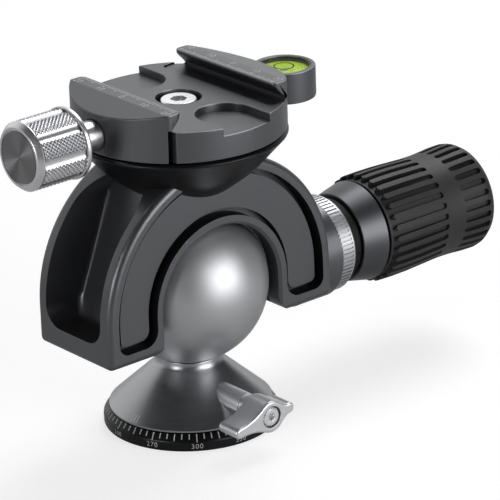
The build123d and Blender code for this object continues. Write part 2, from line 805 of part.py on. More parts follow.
with BuildPart() as grip_sleeve:
    revolve(
        turned_x(
            [
                (SLEEVE_START, SPINDLE_RADIUS + RUNNING_FIT),
                (SLEEVE_START, SLEEVE_RADIUS),
                (SLEEVE_FLANGE_START, SLEEVE_RADIUS),
                (SLEEVE_FLANGE_START, SLEEVE_FLANGE_RADIUS),
                (SLEEVE_END, SLEEVE_FLANGE_RADIUS),
                (SLEEVE_END, SPINDLE_RADIUS + RUNNING_FIT),
            ],
            GRIP_Z,
        ),
        axis=GRIP_AXIS,
    )
    for turn in GRUB_TURNS:
        with BuildSketch(radial_plane(turn).offset(GRUB_BOTTOM)):
            Circle(GRUB_RADIUS)
        extrude(amount=GRIP_BOSS_RADIUS, mode=Mode.SUBTRACT)
grip_sleeve.part.label = "grip_sleeve"
export_step(grip_sleeve.part, "parts/grip_sleeve.step")

with BuildPart() as sleeve_screws:
    for turn in GRUB_TURNS:
        with BuildSketch(radial_plane(turn).offset(GRUB_BOTTOM)):
            Circle(GRUB_RADIUS)
        extrude(amount=GRUB_TOP - GRUB_BOTTOM)
        with BuildSketch(radial_plane(turn).offset(GRUB_TOP - 1.4)):
            RegularPolygon(radius=0.75, side_count=6)
        extrude(amount=2, mode=Mode.SUBTRACT)
sleeve_screws.part.label = "sleeve_screws"
export_step(sleeve_screws.part, "parts/sleeve_screws.step")

with BuildPart() as tension_ring:
    revolve(
        turned_x(
            [
                (TENSION_START, SLEEVE_RADIUS + RUNNING_FIT),
                (TENSION_START, TENSION_RADIUS - 0.5),
                (TENSION_START + 0.5, TENSION_RADIUS),
                (TENSION_END - 1.0, TENSION_RADIUS),
                (TENSION_END, TENSION_RADIUS - 1.0),
                (TENSION_END, SLEEVE_RADIUS + RUNNING_FIT),
            ],
            GRIP_Z,
        ),
        axis=GRIP_AXIS,
    )
    with BuildSketch(Plane.YZ.offset(TENSION_START + 0.8)):
        with Locations((0, GRIP_Z)):
            with PolarLocations(TENSION_RADIUS + 0.1, TENSION_RIDGES):
                Circle(0.4)
    extrude(amount=TENSION_END, mode=Mode.SUBTRACT)
tension_ring.part.label = "tension_ring"
export_step(tension_ring.part, "parts/tension_ring.step")

# ---------------------------------------------------------------- side grip

with BuildPart() as spindle:
    revolve(
        turned_x(
            [
                (SPINDLE_START, 0),
                (SPINDLE_START, SPINDLE_RADIUS - 1),
                (SPINDLE_START + 1, SPINDLE_RADIUS),
                (SPINDLE_END, SPINDLE_RADIUS),
                (SPINDLE_END, END_SCREW_RADIUS),
                (END_SCREW_TIP - 1, END_SCREW_RADIUS),
                (END_SCREW_TIP - 1, 0),
            ],
            GRIP_Z,
        ),
        axis=GRIP_AXIS,
    )
spindle.part.label = "spindle"
export_step(spindle.part, "parts/spindle.step")

with BuildPart() as thrust_washer:
    revolve(
        turned_x(
            band(SLEEVE_END + RUNNING_FIT, COLLAR_START + 0.9, SPINDLE_RADIUS + 0.3, WASHER_RADIUS),
            GRIP_Z,
        ),
        axis=GRIP_AXIS,
    )
thrust_washer.part.label = "thrust_washer"
export_step(thrust_washer.part, "parts/thrust_washer.step")

with BuildPart() as grip_collar:
    revolve(
        turned_x(
            [
                (COLLAR_START + 0.9, SPINDLE_RADIUS),
                (COLLAR_START + 0.9, WASHER_RADIUS),
                (COLLAR_START, WASHER_RADIUS),
                (COLLAR_START, COLLAR_START_RADIUS - 0.3),
                (COLLAR_START + 0.3, COLLAR_START_RADIUS),
                (COLLAR_END - 0.4, COLLAR_END_RADIUS),
                (COLLAR_END, COLLAR_END_RADIUS - 0.4),
                (COLLAR_END, CORE_RADIUS),
                (COLLAR_START + 2.4, CORE_RADIUS),
                (COLLAR_START + 2.4, SPINDLE_RADIUS),
            ],
            GRIP_Z,
        ),
        axis=GRIP_AXIS,
    )
grip_collar.part.label = "grip_collar"
export_step(grip_collar.part, "parts/grip_collar.step")

with BuildPart() as grip_core:
    revolve(
        turned_x(
            [
                (COLLAR_START + 2.4, SPINDLE_RADIUS),
                (COLLAR_START + 2.4, CORE_RADIUS),
                (COLLAR_END, CORE_RADIUS),
                (COLLAR_END, COLLAR_START_RADIUS),
                (RUBBER_START, COLLAR_START_RADIUS),
                (RUBBER_START, CORE_RADIUS),
                (SPINDLE_END, CORE_RADIUS),
                (SPINDLE_END, SPINDLE_RADIUS),
                (SPINDLE_END - 4, SPINDLE_RADIUS),
                (SPINDLE_END - 4, CORE_RADIUS - 2.5),
                (COLLAR_START + 8, CORE_RADIUS - 2.5),
                (COLLAR_START + 8, SPINDLE_RADIUS),
            ],
            GRIP_Z,
        ),
        axis=GRIP_AXIS,
    )
grip_core.part.label = "grip_core"
export_step(grip_core.part, "parts/grip_core.step")

with BuildPart() as rubber_grip:
    revolve(
        turned_x(
            [
                (RUBBER_START, CORE_RADIUS),
                (RUBBER_START, RUBBER_RADIUS - 0.6),
                (RUBBER_START + 0.6, RUBBER_RADIUS),
                (RUBBER_START + 10, RUBBER_RADIUS),
                (RUBBER_WAIST_X - 3, RUBBER_WAIST_RADIUS),
                (RUBBER_WAIST_X + 3, RUBBER_WAIST_RADIUS),
                (RUBBER_END - 6, RUBBER_RADIUS),
                (RUBBER_END - 2.5, RUBBER_RADIUS),
                (RUBBER_END - 0.8, RUBBER_RADIUS - 0.8),
                (RUBBER_END, RUBBER_RADIUS - 2.5),
                (RUBBER_END, END_CAP_RADIUS),
                (SPINDLE_END, END_CAP_RADIUS),
                (SPINDLE_END, CORE_RADIUS),
            ],
            GRIP_Z,
        ),
        axis=GRIP_AXIS,
    )
    for start, end in (LONG_GROOVE, SHORT_GROOVE):
        with BuildSketch(Plane.YZ.offset(start)):
            with Locations((0, GRIP_Z)):
                with PolarLocations(RUBBER_RADIUS, GROOVE_COUNT, start_angle=GROOVE_PHASE):
                    Circle(GROOVE_CUT_RADIUS)
        extrude(amount=end - start, mode=Mode.SUBTRACT)
rubber_grip.part.label = "rubber_grip"
export_step(rubber_grip.part, "parts/rubber_grip.step")

with BuildPart() as end_cap:
    revolve(
        turned_x(
            [
                (SPINDLE_END, END_SCREW_RADIUS),
                (SPINDLE_END, END_CAP_RADIUS),
                (RUBBER_END - 0.9, END_CAP_RADIUS),
                (RUBBER_END - 0.4, END_CAP_RADIUS - 0.5),
                (RUBBER_END - 0.4, END_HEAD_RADIUS),
                (SPINDLE_END + 0.4, END_SCREW_RADIUS),
            ],
            GRIP_Z,
        ),
        axis=GRIP_AXIS,
    )
end_cap.part.label = "end_cap"
export_step(end_cap.part, "parts/end_cap.step")

with BuildPart() as end_screw:
    revolve(
        turned_x(
            [
                (END_SCREW_TIP, 0),
                (END_SCREW_TIP, END_SCREW_RADIUS),
                (SPINDLE_END + 0.4, END_SCREW_RADIUS),
                (RUBBER_END - 0.4, END_HEAD_RADIUS),
                (RUBBER_END - 0.4, 0),
            ],
            GRIP_Z,
        ),
        axis=GRIP_AXIS,
    )
    with BuildSketch(Plane.YZ.offset(RUBBER_END - 1.8)):
        with Locations((0, GRIP_Z)):
            RegularPolygon(radius=1.45, side_count=6)
    extrude(amount=3, mode=Mode.SUBTRACT)
end_screw.part.label = "end_screw"
export_step(end_screw.part, "parts/end_screw.step")

# ---------------------------------------------------------------- neck platform and clamp

with BuildPart() as neck_platform:
    revolve(turned_z(PLATFORM_OUTLINE), axis=Axis.Z)
    with BuildSketch(Plane.XY.offset(PLATFORM_OUTLINE[0][1] - 1)):
        Circle(MOUNT_SHANK_RADIUS)
        with Locations((-PIN_X, 0), (PIN_X, 0)):
            Circle(PIN_RADIUS)
    extrude(amount=CLAMP_BOTTOM, mode=Mode.SUBTRACT)
neck_platform.part.label = "neck_platform"
export_step(neck_platform.part, "parts/neck_platform.step")

with BuildPart() as anti_turn_pins:
    with BuildSketch(Plane.XY.offset(PIN_BOTTOM)):
        with Locations((-PIN_X, 0), (PIN_X, 0)):
            Circle(PIN_RADIUS)
    extrude(amount=PIN_TOP - PIN_BOTTOM)
anti_turn_pins.part.label = "anti_turn_pins"
export_step(anti_turn_pins.part, "parts/anti_turn_pins.step")

with BuildPart() as mount_screw:
    with BuildSketch(Plane.XY.offset(MOUNT_HEAD_BOTTOM)):
        Circle(MOUNT_HEAD_RADIUS)
    extrude(amount=MOUNT_HEAD_TOP - MOUNT_HEAD_BOTTOM)
    chamfer(mount_screw.edges().group_by(Axis.Z)[-1], 0.35)
    with BuildSketch(Plane.XY.offset(MOUNT_TIP)):
        Circle(MOUNT_SHANK_RADIUS)
    extrude(amount=MOUNT_HEAD_BOTTOM - MOUNT_TIP)
    with BuildSketch(Plane.XY.offset(MOUNT_HEAD_TOP)):
        RegularPolygon(radius=HEX_LARGE, side_count=6)
    extrude(amount=-2.2, mode=Mode.SUBTRACT)
mount_screw.part.label = "mount_screw"
export_step(mount_screw.part, "parts/mount_screw.step")


def jaw_outline(side, root_x):
    """Return the jaw's section: flat top, slope to the rim and the undercut for the plate."""
    return [
        (side * JAW_LIP_X, JAW_LIP_Z),
        (side * JAW_LIP_X, JAW_TOP),
        (side * JAW_FLAT_X, JAW_TOP),
        (side * (CLAMP_RADIUS + 1), JAW_RIM_Z),
        (side * (CLAMP_RADIUS + 1), CLAMP_BOTTOM),
        (side * root_x, CLAMP_BOTTOM),
        (side * root_x, JAW_ROOT_Z),
        (side * JAW_ROOT_X, JAW_ROOT_Z),
    ]


with BuildPart() as fixed_jaw:
    extrude(
        face_on(across(-JAW_HALF), jaw_outline(1, JAW_ROOT_X + 0.5)),
        amount=2 * JAW_HALF,
        dir=(0, 1, 0),
    )
    Cylinder(CLAMP_RADIUS, 4 * DECK_Z, mode=Mode.INTERSECT)

with BuildPart() as clamp_body:
    with BuildSketch(Plane.XY.offset(CLAMP_BOTTOM)):
        Circle(CLAMP_RADIUS)
        with Locations((BODY_EDGE_X - CLAMP_RADIUS, 0)):
            Rectangle(2 * CLAMP_RADIUS, 2 * CLAMP_RADIUS, mode=Mode.SUBTRACT)
    extrude(amount=DECK_Z - CLAMP_BOTTOM)
    # boss of the bubble level and the web that joins it to the rim
    with BuildSketch(Plane.XY.offset(LEVEL_BOTTOM)):
        with Locations((LEVEL_X, 0)):
            Circle(LEVEL_RADIUS)
    extrude(amount=DECK_Z - LEVEL_BOTTOM)
    with BuildSketch(Plane.XY.offset(CLAMP_BOTTOM)):
        with Locations(((CLAMP_RADIUS + LEVEL_X) / 2 - 3, 0)):
            Rectangle(LEVEL_X - CLAMP_RADIUS + 6, 2 * LEVEL_RADIUS - 4)
    extrude(amount=DECK_Z - CLAMP_BOTTOM - 0.6)
    # pockets in the deck, open at the front and back rim
    for side in (-1, 1):
        with BuildSketch(Plane.XY.offset(POCKET_FLOOR_Z)):
            with Locations((DECK_POCKET_X, side * DECK_POCKET_Y)):
                Circle(DECK_POCKET_RADIUS)
            with Locations((DECK_POCKET_X, side * (DECK_POCKET_Y + CLAMP_RADIUS / 2))):
                Rectangle(2 * DECK_POCKET_RADIUS, CLAMP_RADIUS)
        extrude(amount=CLAMP_RADIUS, mode=Mode.SUBTRACT)
    # shallow relief under the fixed jaw
    with BuildSketch(Plane.XY.offset(RELIEF_Z)) as relief:
        with Locations(((RELIEF_X + JAW_ROOT_X) / 2 + 1, 0)):
            Rectangle(JAW_ROOT_X - RELIEF_X + 2, 2 * RELIEF_HALF)
        fillet(relief.vertices().group_by(Axis.X)[0], 1.5)
    extrude(amount=CLAMP_RADIUS, mode=Mode.SUBTRACT)
    add(fixed_jaw.part)
    with BuildSketch(Plane.XY.offset(MOUNT_HEAD_BOTTOM)):
        Circle(COUNTERBORE_RADIUS)
    extrude(amount=CLAMP_RADIUS, mode=Mode.SUBTRACT)
    with BuildSketch(Plane.XY.offset(CLAMP_BOTTOM - 1)):
        Circle(MOUNT_SHANK_RADIUS)
    extrude(amount=CLAMP_RADIUS, mode=Mode.SUBTRACT)
    with BuildSketch(Plane.XY.offset(CLAMP_BOTTOM - 1)):
        with Locations((-PIN_X, 0), (PIN_X, 0)):
            Circle(PIN_RADIUS)
    extrude(amount=PIN_TOP - CLAMP_BOTTOM + 1, mode=Mode.SUBTRACT)
    with BuildSketch(Plane.XY.offset(LEVEL_FLOOR)):
        with Locations((LEVEL_X, 0)):
            Circle(LEVEL_BORE_RADIUS)
    extrude(amount=CLAMP_RADIUS, mode=Mode.SUBTRACT)
    # bores for the clamp screw, the guide pins and their springs
    with BuildSketch(Plane.YZ.offset(BODY_EDGE_X - 1)):
        with Locations((0, KNOB_Z)):
            Circle(CLAMP_SCREW_RADIUS + RUNNING_FIT)
    extrude(amount=CLAMP_BORE_END - BODY_EDGE_X + 1, mode=Mode.SUBTRACT)
    with BuildSketch(Plane.YZ.offset(BODY_EDGE_X - 1)):
        with Locations((-GUIDE_Y, GUIDE_Z), (GUIDE_Y, GUIDE_Z)):
            Circle(GUIDE_RADIUS + RUNNING_FIT)
    extrude(amount=GUIDE_BORE_END - BODY_EDGE_X + 1, mode=Mode.SUBTRACT)
    with BuildSketch(Plane.YZ.offset(BODY_EDGE_X - 1)):
        with Locations((-GUIDE_Y, GUIDE_Z), (GUIDE_Y, GUIDE_Z)):
            Circle(SPRING_POCKET_RADIUS)
    extrude(amount=SPRING_POCKET_END - BODY_EDGE_X + 1, mode=Mode.SUBTRACT)
clamp_body.part.label = "clamp_body"
export_step(clamp_body.part, "parts/clamp_body.step")

with BuildPart() as moving_jaw:
    extrude(
        face_on(across(-JAW_HALF), jaw_outline(-1, -JAW_FACE_X)),
        amount=2 * JAW_HALF,
        dir=(0, 1, 0),
    )
    Cylinder(CLAMP_RADIUS, 4 * DECK_Z, mode=Mode.INTERSECT)
    with BuildSketch(Plane.YZ.offset(SPOTFACE_X)):
        with Locations((0, KNOB_Z)):
            Circle(SPOTFACE_RADIUS)
    extrude(amount=-6, mode=Mode.SUBTRACT)
    with BuildSketch(Plane.YZ.offset(SPOTFACE_X - 1)):
        with Locations((0, KNOB_Z)):
            Circle(CLAMP_SCREW_RADIUS + RUNNING_FIT)
    extrude(amount=12, mode=Mode.SUBTRACT)
    with BuildSketch(Plane.YZ.offset(JAW_FACE_X)):
        with Locations((0, KNOB_Z)):
            Circle(THRUST_RING_RADIUS + 0.3)
    extrude(amount=-1.8, mode=Mode.SUBTRACT)
    with BuildSketch(Plane.YZ.offset(JAW_FACE_X)):
        with Locations((-GUIDE_Y, GUIDE_Z), (GUIDE_Y, GUIDE_Z)):
            Circle(GUIDE_RADIUS)
    extrude(amount=GUIDE_START - JAW_FACE_X, mode=Mode.SUBTRACT)
moving_jaw.part.label = "moving_jaw"
export_step(moving_jaw.part, "parts/moving_jaw.step")

with BuildPart() as guide_pins:
    with BuildSketch(Plane.YZ.offset(GUIDE_START)):
        with Locations((-GUIDE_Y, GUIDE_Z), (GUIDE_Y, GUIDE_Z)):
            Circle(GUIDE_RADIUS)
    extrude(amount=GUIDE_TIP - GUIDE_START)
guide_pins.part.label = "guide_pins"
export_step(guide_pins.part, "parts/guide_pins.step")

with BuildPart() as jaw_springs:
    for side in (-1, 1):
        pin_axis = Axis((0, side * GUIDE_Y, GUIDE_Z), (1, 0, 0))
        for index in range(JAW_DISC_COUNT):
            start = JAW_FACE_X + 0.1 + JAW_DISC_PITCH * index
            rise = (0.0, JAW_DISC_CONE) if index % 2 == 0 else (JAW_DISC_CONE, 0.0)
            section = [
                (start + rise[0], GUIDE_Z + JAW_DISC_INNER),
                (start + rise[1], GUIDE_Z + JAW_DISC_OUTER),
                (start + rise[1] + JAW_DISC_THICKNESS, GUIDE_Z + JAW_DISC_OUTER),
                (start + rise[0] + JAW_DISC_THICKNESS, GUIDE_Z + JAW_DISC_INNER),
            ]
            revolve(face_on(across(side * GUIDE_Y), section), axis=pin_axis)
jaw_springs.part.label = "jaw_springs"
export_step(jaw_springs.part, "parts/jaw_springs.step")

# ---------------------------------------------------------------- clamp knob

with BuildPart() as clamp_knob:
    revolve(
        turned_x(
            [
                (KNOB_START, 0),
                (KNOB_START, KNOB_RADIUS - 0.5),
                (KNOB_START + 0.5, KNOB_RADIUS),
                (KNOB_FLANGE_START, KNOB_RADIUS),
                (KNOB_FLANGE_START, KNOB_FLANGE_RADIUS),
                (KNOB_FACE - 0.6, KNOB_FLANGE_RADIUS),
                (KNOB_FACE, KNOB_FLANGE_RADIUS - 0.6),
                (KNOB_FACE, CLAMP_SCREW_RADIUS),
                (CLAMP_SCREW_START, CLAMP_SCREW_RADIUS),
                (CLAMP_SCREW_START, 0),
            ],
            KNOB_Z,
        ),
        axis=KNOB_AXIS,
    )
    with BuildSketch(Plane.YZ.offset(KNOB_START - 1)):
        with Locations((0, KNOB_Z)):
            with PolarLocations(SCALLOP_CENTRE, SCALLOP_COUNT, start_angle=180 - SCALLOP_PHASE):
                Circle(SCALLOP_RADIUS)
    extrude(amount=KNOB_FLANGE_START - KNOB_START + 1, mode=Mode.SUBTRACT)
clamp_knob.part.label = "clamp_knob"
export_step(clamp_knob.part, "parts/clamp_knob.step")

with BuildPart() as knob_cap:
    revolve(
        turned_x(
            [
                (KNOB_START, 0),
                (KNOB_END + 0.8, 0),
                (KNOB_END + 0.3, KNOB_RADIUS - 2.0),
                (KNOB_END, KNOB_RADIUS - 1.7),
                (KNOB_END, KNOB_RADIUS - 0.7),
                (KNOB_END + 0.4, KNOB_RADIUS - 0.3),
                (KNOB_START, KNOB_RADIUS - 0.3),
            ],
            KNOB_Z,
        ),
        axis=KNOB_AXIS,
    )
knob_cap.part.label = "knob_cap"
export_step(knob_cap.part, "parts/knob_cap.step")

with BuildPart() as knob_neck:
    revolve(
        turned_x(
            band(KNOB_FACE, SPOTFACE_X - RUNNING_FIT, CLAMP_SCREW_RADIUS, KNOB_NECK_RADIUS),
            KNOB_Z,
        ),
        axis=KNOB_AXIS,
    )
knob_neck.part.label = "knob_neck"
export_step(knob_neck.part, "parts/knob_neck.step")

with BuildPart() as clamp_screw:
    revolve(
        turned_x(band(CLAMP_SCREW_START, CLAMP_SCREW_TIP, 0, CLAMP_SCREW_RADIUS), KNOB_Z),
        axis=KNOB_AXIS,
    )
clamp_screw.part.label = "clamp_screw"
export_step(clamp_screw.part, "parts/clamp_screw.step")

with BuildPart() as thrust_ring:
    revolve(
        turned_x(
            band(
                JAW_FACE_X - 1.8 + RUNNING_FIT,
                JAW_FACE_X - 0.4,
                CLAMP_SCREW_RADIUS,
                THRUST_RING_RADIUS,
            ),
            KNOB_Z,
        ),
        axis=KNOB_AXIS,
    )
thrust_ring.part.label = "thrust_ring"
export_step(thrust_ring.part, "parts/thrust_ring.step")

# ---------------------------------------------------------------- bubble level

LEVEL_AXIS = Axis((LEVEL_X, 0, 0), (0, 0, 1))


def turned_level(points):
    """Return the (radius, height) outline of a piece turned about the level's axis."""
    return face_on(Plane.XZ, [(LEVEL_X + radius, z) for radius, z in points])


with BuildPart() as level_case:
    revolve(
        turned_level(
            [
                (0, LEVEL_FLOOR),
                (LEVEL_BORE_RADIUS, LEVEL_FLOOR),
                (LEVEL_BORE_RADIUS, DECK_Z - 0.2),
                (LEVEL_WINDOW_RADIUS, DECK_Z - 0.2),
                (LEVEL_WINDOW_RADIUS, FLUID_BOTTOM),
                (0, FLUID_BOTTOM),
            ]
        ),
        axis=LEVEL_AXIS,
    )
level_case.part.label = "level_case"
export_step(level_case.part, "parts/level_case.step")

with BuildPart() as level_fluid:
    with BuildSketch(Plane.XY.offset(FLUID_BOTTOM)):
        with Locations((LEVEL_X, 0)):
            Circle(LEVEL_WINDOW_RADIUS)
    extrude(amount=LENS_BOTTOM - FLUID_BOTTOM)
    revolve(
        turned_level(
            [
                (0, LENS_BOTTOM + 1),
                (0, LENS_BOTTOM - BUBBLE_HEIGHT),
                (0.7 * BUBBLE_RADIUS, LENS_BOTTOM - 0.75 * BUBBLE_HEIGHT),
                (BUBBLE_RADIUS, LENS_BOTTOM),
                (BUBBLE_RADIUS, LENS_BOTTOM + 1),
            ]
        ),
        axis=LEVEL_AXIS,
        mode=Mode.SUBTRACT,
    )
level_fluid.part.label = "level_fluid"
export_step(level_fluid.part, "parts/level_fluid.step")

with BuildPart() as level_bubble:
    revolve(
        turned_level(
            [
                (0, LENS_BOTTOM),
                (0, LENS_BOTTOM - BUBBLE_HEIGHT),
                (0.7 * BUBBLE_RADIUS, LENS_BOTTOM - 0.75 * BUBBLE_HEIGHT),
                (BUBBLE_RADIUS, LENS_BOTTOM),
            ]
        ),
        axis=LEVEL_AXIS,
    )
level_bubble.part.label = "level_bubble"
export_step(level_bubble.part, "parts/level_bubble.step")

with BuildPart() as level_lens:
    with BuildSketch(Plane.XY.offset(LENS_BOTTOM)):
        with Locations((LEVEL_X, 0)):
            Circle(LEVEL_WINDOW_RADIUS)
    extrude(amount=LENS_TOP - LENS_BOTTOM)
level_lens.part.label = "level_lens"
export_step(level_lens.part, "parts/level_lens.step")
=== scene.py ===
"""Looks of a tripod ball head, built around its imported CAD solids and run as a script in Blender.

Sizes in the lists are millimetres and MM turns them into metres. +Z is up, +X runs along the
side grip, and the origin is the mouth of the tripod thread.
"""

import json
from math import atan2, cos, pi, radians, sin, sqrt, tau

import bmesh
import bpy
from mathutils import Matrix, Vector

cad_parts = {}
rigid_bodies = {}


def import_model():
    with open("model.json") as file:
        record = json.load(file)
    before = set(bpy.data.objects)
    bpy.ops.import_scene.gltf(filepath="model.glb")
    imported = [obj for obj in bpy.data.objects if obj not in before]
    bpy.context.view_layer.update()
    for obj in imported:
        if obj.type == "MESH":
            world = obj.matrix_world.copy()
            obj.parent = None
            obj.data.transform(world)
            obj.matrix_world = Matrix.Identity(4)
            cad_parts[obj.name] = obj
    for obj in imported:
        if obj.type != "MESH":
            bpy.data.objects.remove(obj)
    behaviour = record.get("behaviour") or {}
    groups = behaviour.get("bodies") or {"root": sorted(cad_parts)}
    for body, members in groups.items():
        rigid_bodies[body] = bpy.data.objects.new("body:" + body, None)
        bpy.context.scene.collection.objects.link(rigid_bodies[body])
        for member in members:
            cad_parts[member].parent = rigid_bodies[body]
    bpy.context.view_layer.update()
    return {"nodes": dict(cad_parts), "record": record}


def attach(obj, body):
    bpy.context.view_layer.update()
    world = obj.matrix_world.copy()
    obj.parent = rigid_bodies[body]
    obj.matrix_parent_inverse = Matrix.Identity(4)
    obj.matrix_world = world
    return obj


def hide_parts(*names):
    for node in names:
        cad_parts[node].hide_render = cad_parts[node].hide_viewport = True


bl_info = {
    "name": "Tripod ball head", "version": (1, 0, 0), "blender": (4, 5, 0),
    "location": "3D View > Sidebar > Ball head",
    "description": "Models the visible pieces of a tripod ball head and their finishes",
    "category": "Object"
}

for spare in list(bpy.data.objects):
    bpy.data.objects.remove(spare)
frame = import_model()
NODES = frame["nodes"]
BODY_OF = {
    node: body for body, members in frame["record"]["behaviour"]["bodies"].items() for node in members
}
MM = 0.001

# Places that the pieces share with the solids, in millimetres
BALL_Z = 42.0
GRIP_Z = 39.4
KNOB_Z = 93.3
LEVEL_X = 38.3
JAW_TOP = 101.7
LEVER_X = 0.3
LEVER_Z = 11.2
BALL_RADIUS = 23.3
CONE_RADIUS = 23.3
CONE_LIP = 5.95
CONE_SHOULDER = (10.2, 17.8)
RING_TOP, RING_RIM = (23.4, 5.2), (25.0, 3.2)  # radius and height of the degree ring's slope
SCALE_ZERO = radians(-65.6)  # where the degree ring's zero stands
DIGIT_STEP = 1.22  # from one digit of the degree ring to the next
JAW_EDGE, JAW_END = 16.2, 21.8  # the jaws' inner edge along X and their ends along Y

RIGHT, BACK, UP = Vector((1, 0, 0)), Vector((0, 1, 0)), Vector((0, 0, 1))
# The direction along each axis and the direction in which its radius is drawn
AXES = {"X": (RIGHT, UP), "Y": (BACK, UP), "Z": (UP, RIGHT)}
TOUCH = 0.001  # vertices of a new shell that stand nearer than this, in millimetres, are one
WELD = 0.03  # the same before the edges of a clamp or jaw are rounded
SMOOTH = 40.0  # edges that turn less than this, in degrees, are shaded smooth


# ---------------------------------------------------------------- modelling steps


def mm(x, y, z):
    """Turn a place in millimetres into metres."""
    return Vector((x, y, z)) * MM


def edit_all():
    """Enter edit mode on the active piece and select all of it."""
    bpy.ops.object.mode_set(mode="EDIT")
    bpy.ops.mesh.select_all(action="SELECT")


def leave_edit():
    """Go back to object mode."""
    bpy.ops.object.mode_set(mode="OBJECT")


def activate(piece):
    """Leave edit mode, deselect everything and make one piece the active one."""
    if bpy.context.object and bpy.context.object.mode != "OBJECT":
        leave_edit()
    bpy.ops.object.select_all(action="DESELECT")
    if piece:
        piece.select_set(True)
        bpy.context.view_layer.objects.active = piece


def added(name):
    """Name the primitive that was just added and move its place into its mesh."""
    piece = bpy.context.object
    piece.name = name
    piece.data.name = name
    bpy.ops.object.transform_apply(location=True, rotation=True, scale=True)
    return piece


def pick(piece, kind, test):
    """Select what passes a test on its middle in millimetres and its normal, or the edge itself."""
    bpy.ops.mesh.select_mode(type=kind)
    bpy.ops.mesh.select_all(action="DESELECT")
    mesh = bmesh.from_edit_mesh(piece.data)
    if kind == "VERT":
        parts = [(vertex, vertex.co, vertex.normal) for vertex in mesh.verts]
    elif kind == "EDGE":
        parts = [(edge, (edge.verts[0].co + edge.verts[1].co) / 2, edge) for edge in mesh.edges]
    else:
        parts = [(face, face.calc_center_median(), face.normal) for face in mesh.faces]
    chosen = [part for part, middle, more in parts if test(middle / MM, more)]
    if not chosen:
        raise RuntimeError(f"{piece.name}: nothing to select")
    for part in chosen:
        part.select_set(True)
    mesh.select_flush_mode()
    bmesh.update_edit_mesh(piece.data)


def line_through(name, places):
    """Draw a line through places, one extruded vertex at a time, and stay in edit mode."""
    activate(None)
    bpy.ops.mesh.primitive_plane_add(size=MM)
    piece = added(name)
    bpy.ops.object.mode_set(mode="EDIT")
    bpy.ops.mesh.select_mode(type="VERT")
    bpy.ops.mesh.select_all(action="SELECT")
    bpy.ops.mesh.merge(type="CENTER")
    bpy.ops.transform.translate(value=places[0])
    for start, end in zip(places, places[1:]):
        bpy.ops.mesh.extrude_vertices_move(TRANSFORM_OT_translate={"value": end - start})
    return piece


def tidy_shell(inside=False):
    """Merge the doubles of the open mesh and point its faces outwards."""
    bpy.ops.mesh.select_mode(type="VERT")
    bpy.ops.mesh.select_all(action="SELECT")
    bpy.ops.mesh.remove_doubles(threshold=TOUCH * MM)
    bpy.ops.mesh.normals_make_consistent(inside=inside)


def turned(name, outline, axis, centre, steps=128):
    """Turn an outline of places along an axis and radii about that axis into a closed solid."""
    along, out = AXES[axis]
    middle = mm(*centre)
    places = [middle + (along * place + out * radius) * MM for place, radius in outline]
    piece = line_through(name, places)
    if outline[0][1] > 0 or outline[-1][1] > 0:
        ends = (places[0], places[-1])
        pick(piece, "VERT", lambda co, _: any((co * MM - end).length < 2e-6 for end in ends))
        bpy.ops.mesh.edge_face_add()
    bpy.ops.mesh.select_all(action="SELECT")
    bpy.ops.mesh.spin(steps=steps, angle=tau, center=middle, axis=along)
    tidy_shell()
    leave_edit()
    return piece


def plate(name, outline, origin, across, up, depth):
    """Fill a closed outline on the plane of two directions and pull it out to a depth."""
    places = [mm(*origin) + (across * a + up * b) * MM for a, b in outline]
    piece = line_through(name, places)
    bpy.ops.mesh.select_all(action="SELECT")
    bpy.ops.mesh.edge_face_add()
    pull = across.cross(up) * depth * MM
    bpy.ops.mesh.extrude_region_move(TRANSFORM_OT_translate={"value": pull})
    tidy_shell()
    leave_edit()
    return piece


def bar(name, size, place):
    """Make a small bar of a size in millimetres, turned and set down by a matrix."""
    activate(None)
    bpy.ops.mesh.primitive_cube_add(size=MM, scale=size)
    piece = added(name)
    piece.matrix_world = place
    bpy.ops.object.transform_apply(location=True, rotation=True, scale=True)
    return piece


def rod(name, radius, start, end, axis, centre, sides=48):
    """Make a closed rod about an axis, from one place along it to another."""
    activate(None)
    along, _ = AXES[axis]
    middle = mm(*centre) + along * (start + end) / 2 * MM
    turn = {"X": (0, pi / 2, 0), "Y": (pi / 2, 0, 0), "Z": (0, 0, 0)}[axis]
    bpy.ops.mesh.primitive_cylinder_add(
        vertices=sides, radius=radius * MM, depth=(end - start) * MM, location=middle, rotation=turn
    )
    return added(name)


def ring_of(piece, count, axis, centre):
    """Copy a piece around an axis until a number of them stand at equal steps."""
    activate(piece)
    edit_all()
    bpy.ops.mesh.spin(
        steps=count - 1, dupli=True, angle=tau * (count - 1) / count, use_auto_merge=False,
        center=mm(*centre), axis=AXES[axis][0]
    )
    bpy.ops.mesh.select_all(action="SELECT")
    bpy.ops.mesh.normals_make_consistent(inside=False)
    leave_edit()
    return piece


def joined(name, pieces):
    """Join pieces into one with a name of its own."""
    activate(pieces[0])
    for piece in pieces:
        piece.select_set(True)
    bpy.ops.object.join()
    whole = bpy.context.object
    whole.name = name
    whole.data.name = name
    return whole


def modified(piece, kind, **settings):
    """Put a modifier on a piece and apply it."""
    activate(piece)
    modifier = piece.modifiers.new(kind.title(), kind)
    for key, value in settings.items():
        setattr(modifier, key, value)
    bpy.ops.object.modifier_apply(modifier=modifier.name)
    return piece


def combined(piece, tool, operation):
    """Unite a tool with a piece, cut it out or keep what they share, and remove the tool."""
    modified(piece, "BOOLEAN", operation=operation, solver="EXACT", object=tool)
    bpy.data.objects.remove(tool)
    return piece


def cut(piece, tool):
    """Take a tool's volume out of a piece."""
    return combined(piece, tool, "DIFFERENCE")


def filled(piece, block):
    """Unite a block with a piece."""
    return combined(piece, block, "UNION")


def softened(piece, radius, segments=2, limit=30.0):
    """Round every sharp edge to a radius in metres, or to what the tightest place leaves."""
    modified(
        piece, "BEVEL", width=radius, segments=segments, limit_method="ANGLE",
        angle_limit=radians(limit), use_clamp_overlap=True
    )
    return shaded(piece, SMOOTH)


